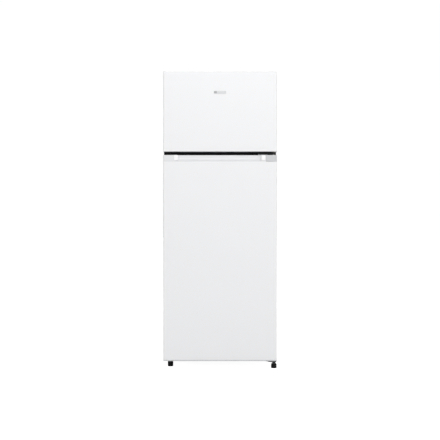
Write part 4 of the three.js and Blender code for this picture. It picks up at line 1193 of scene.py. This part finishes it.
LUG_WIDTH = 0.0175
LUG_HEIGHT = 0.0245
LUG_BELOW_TOP = 0.0005
LUG_STAND = 0.0005
LUG_SUNK = 0.0030
LUG_EDGE = 0.0009
LUG_TO_COVER = 0.0022
LEFT_LUG_END = 0.0710


def make_grip_band_lugs():
    """The two raised white blocks at the ends of the grip band, in a whiter copy of the white plastic that
    paints the light they catch.
    """
    cap_low, cap_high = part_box("fridge_door_top_cap")
    top = cap_high.z - LUG_BELOW_TOP
    lugs = []
    for right in (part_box("hinge_side_cover")[0].x - LUG_TO_COVER, cap_low.x + LEFT_LUG_END):
        lug = slab(
            "lug", (right - LUG_WIDTH, cap_low.y - LUG_STAND, top - LUG_HEIGHT),
            (right, cap_low.y + LUG_SUNK, top),
        )
        soften(lug, LUG_EDGE, 3)
        lugs.append(lug)
    # The lugs take the whiter plastic as a painted highlight, in place of the light that falls on them.
    place(merge(lugs, "grip_band_lugs"), "fridge_door", "white_plastic", PAINTED_HIGHLIGHT_WHITE)


make_grip_band_lugs()


# ------------------------------------------------------------------ studio


def area_light(name, size, energy, position, target):
    """A rectangular lamp that the camera doesn't see."""
    light = bpy.data.lights.new(name, "AREA")
    light.shape = "RECTANGLE"
    light.size, light.size_y = size
    light.energy = energy
    holder = bpy.data.objects.new(name, light)
    bpy.context.collection.objects.link(holder)
    holder.location = position
    holder.visible_camera = False
    aim = Vector(target) - Vector(position)
    holder.rotation_mode = "QUATERNION"
    holder.rotation_quaternion = aim.to_track_quat("-Z", "Y")


area_light("key_light", (3.6, 2.4), 188.0, (0.5, -5.4, 4.4), (0.0, 0.0, 1.3))
area_light("side_light", (2.6, 2.6), 16.0, (3.4, -1.4, 1.6), (0.0, 0.0, 0.8))
area_light("back_light", (3.0, 3.0), 46.0, (-1.2, 3.4, 2.4), (0.0, 0.0, 0.8))

AMBIENT = 0.645
SIDE_AMBIENT = 0.30
BACKDROP = 1.02
FLOOR_GLOW = 0.95
FLOOR_SIZE = 60.0
FLOOR_GREY = (0.64, 0.64, 0.64)


def brighter_to_camera(tree, low, high):
    """A value of low for light that falls on things and high where the camera looks straight at it."""
    path = tree.nodes.new("ShaderNodeLightPath")
    return remap(tree, path.outputs["Is Camera Ray"], low, high)


def flagged_ambient(tree):
    """The studio's own light: full from the front and the back, weaker from either side."""
    split = tree.nodes.new("ShaderNodeSeparateXYZ")
    tree.links.new(tree.nodes.new("ShaderNodeTexCoord").outputs["Generated"], split.inputs["Vector"])
    sideways = arithmetic(tree, "MULTIPLY", split.outputs["X"], split.outputs["X"])
    return remap(tree, sideways, AMBIENT, SIDE_AMBIENT)


world = bpy.data.worlds.new("white_studio")
world.use_nodes = True
background = world.node_tree.nodes["Background"]
background.inputs["Color"].default_value = (1.0, 1.0, 1.0, 1.0)
studio_light = brighter_to_camera(world.node_tree, flagged_ambient(world.node_tree), BACKDROP)
world.node_tree.links.new(studio_light, background.inputs["Strength"])
bpy.context.scene.world = world

deselect()
bpy.ops.mesh.primitive_plane_add(size=FLOOR_SIZE)
floor = bpy.context.active_object
settle(floor, "studio_floor")
pale = Finish("studio_floor", FLOOR_GREY, 0.9, Emission_Color=(1.0, 1.0, 1.0, 1.0))
pale.tree.links.new(brighter_to_camera(pale.tree, 0.0, FLOOR_GLOW), pale.shader.inputs["Emission Strength"])
pale.tint(pale.effect(CLOUDY_TONE, Scale=0.6)["Cloud"], (0.62, 0.62, 0.62))
floor.data.materials.append(pale.material)

CAMERA_DISTANCE = 4.0
CAMERA_HEIGHT = 0.717
CAMERA_LENS = 67.8
SENSOR_WIDTH = 36.0
FARTHEST_SEEN = 200.0
door_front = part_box("fridge_door_skin")[0].y
camera = bpy.data.cameras.new("camera")
camera.lens = CAMERA_LENS
camera.sensor_width = SENSOR_WIDTH
camera.clip_end = FARTHEST_SEEN
camera_object = bpy.data.objects.new("camera", camera)
bpy.context.collection.objects.link(camera_object)
camera_object.location = (0.0, door_front - CAMERA_DISTANCE, CAMERA_HEIGHT)
camera_object.rotation_euler = (math.pi / 2, 0.0, 0.0)
bpy.context.scene.camera = camera_object
bpy.context.scene.view_settings.view_transform = "Standard"
bpy.context.scene.view_settings.look = "None"
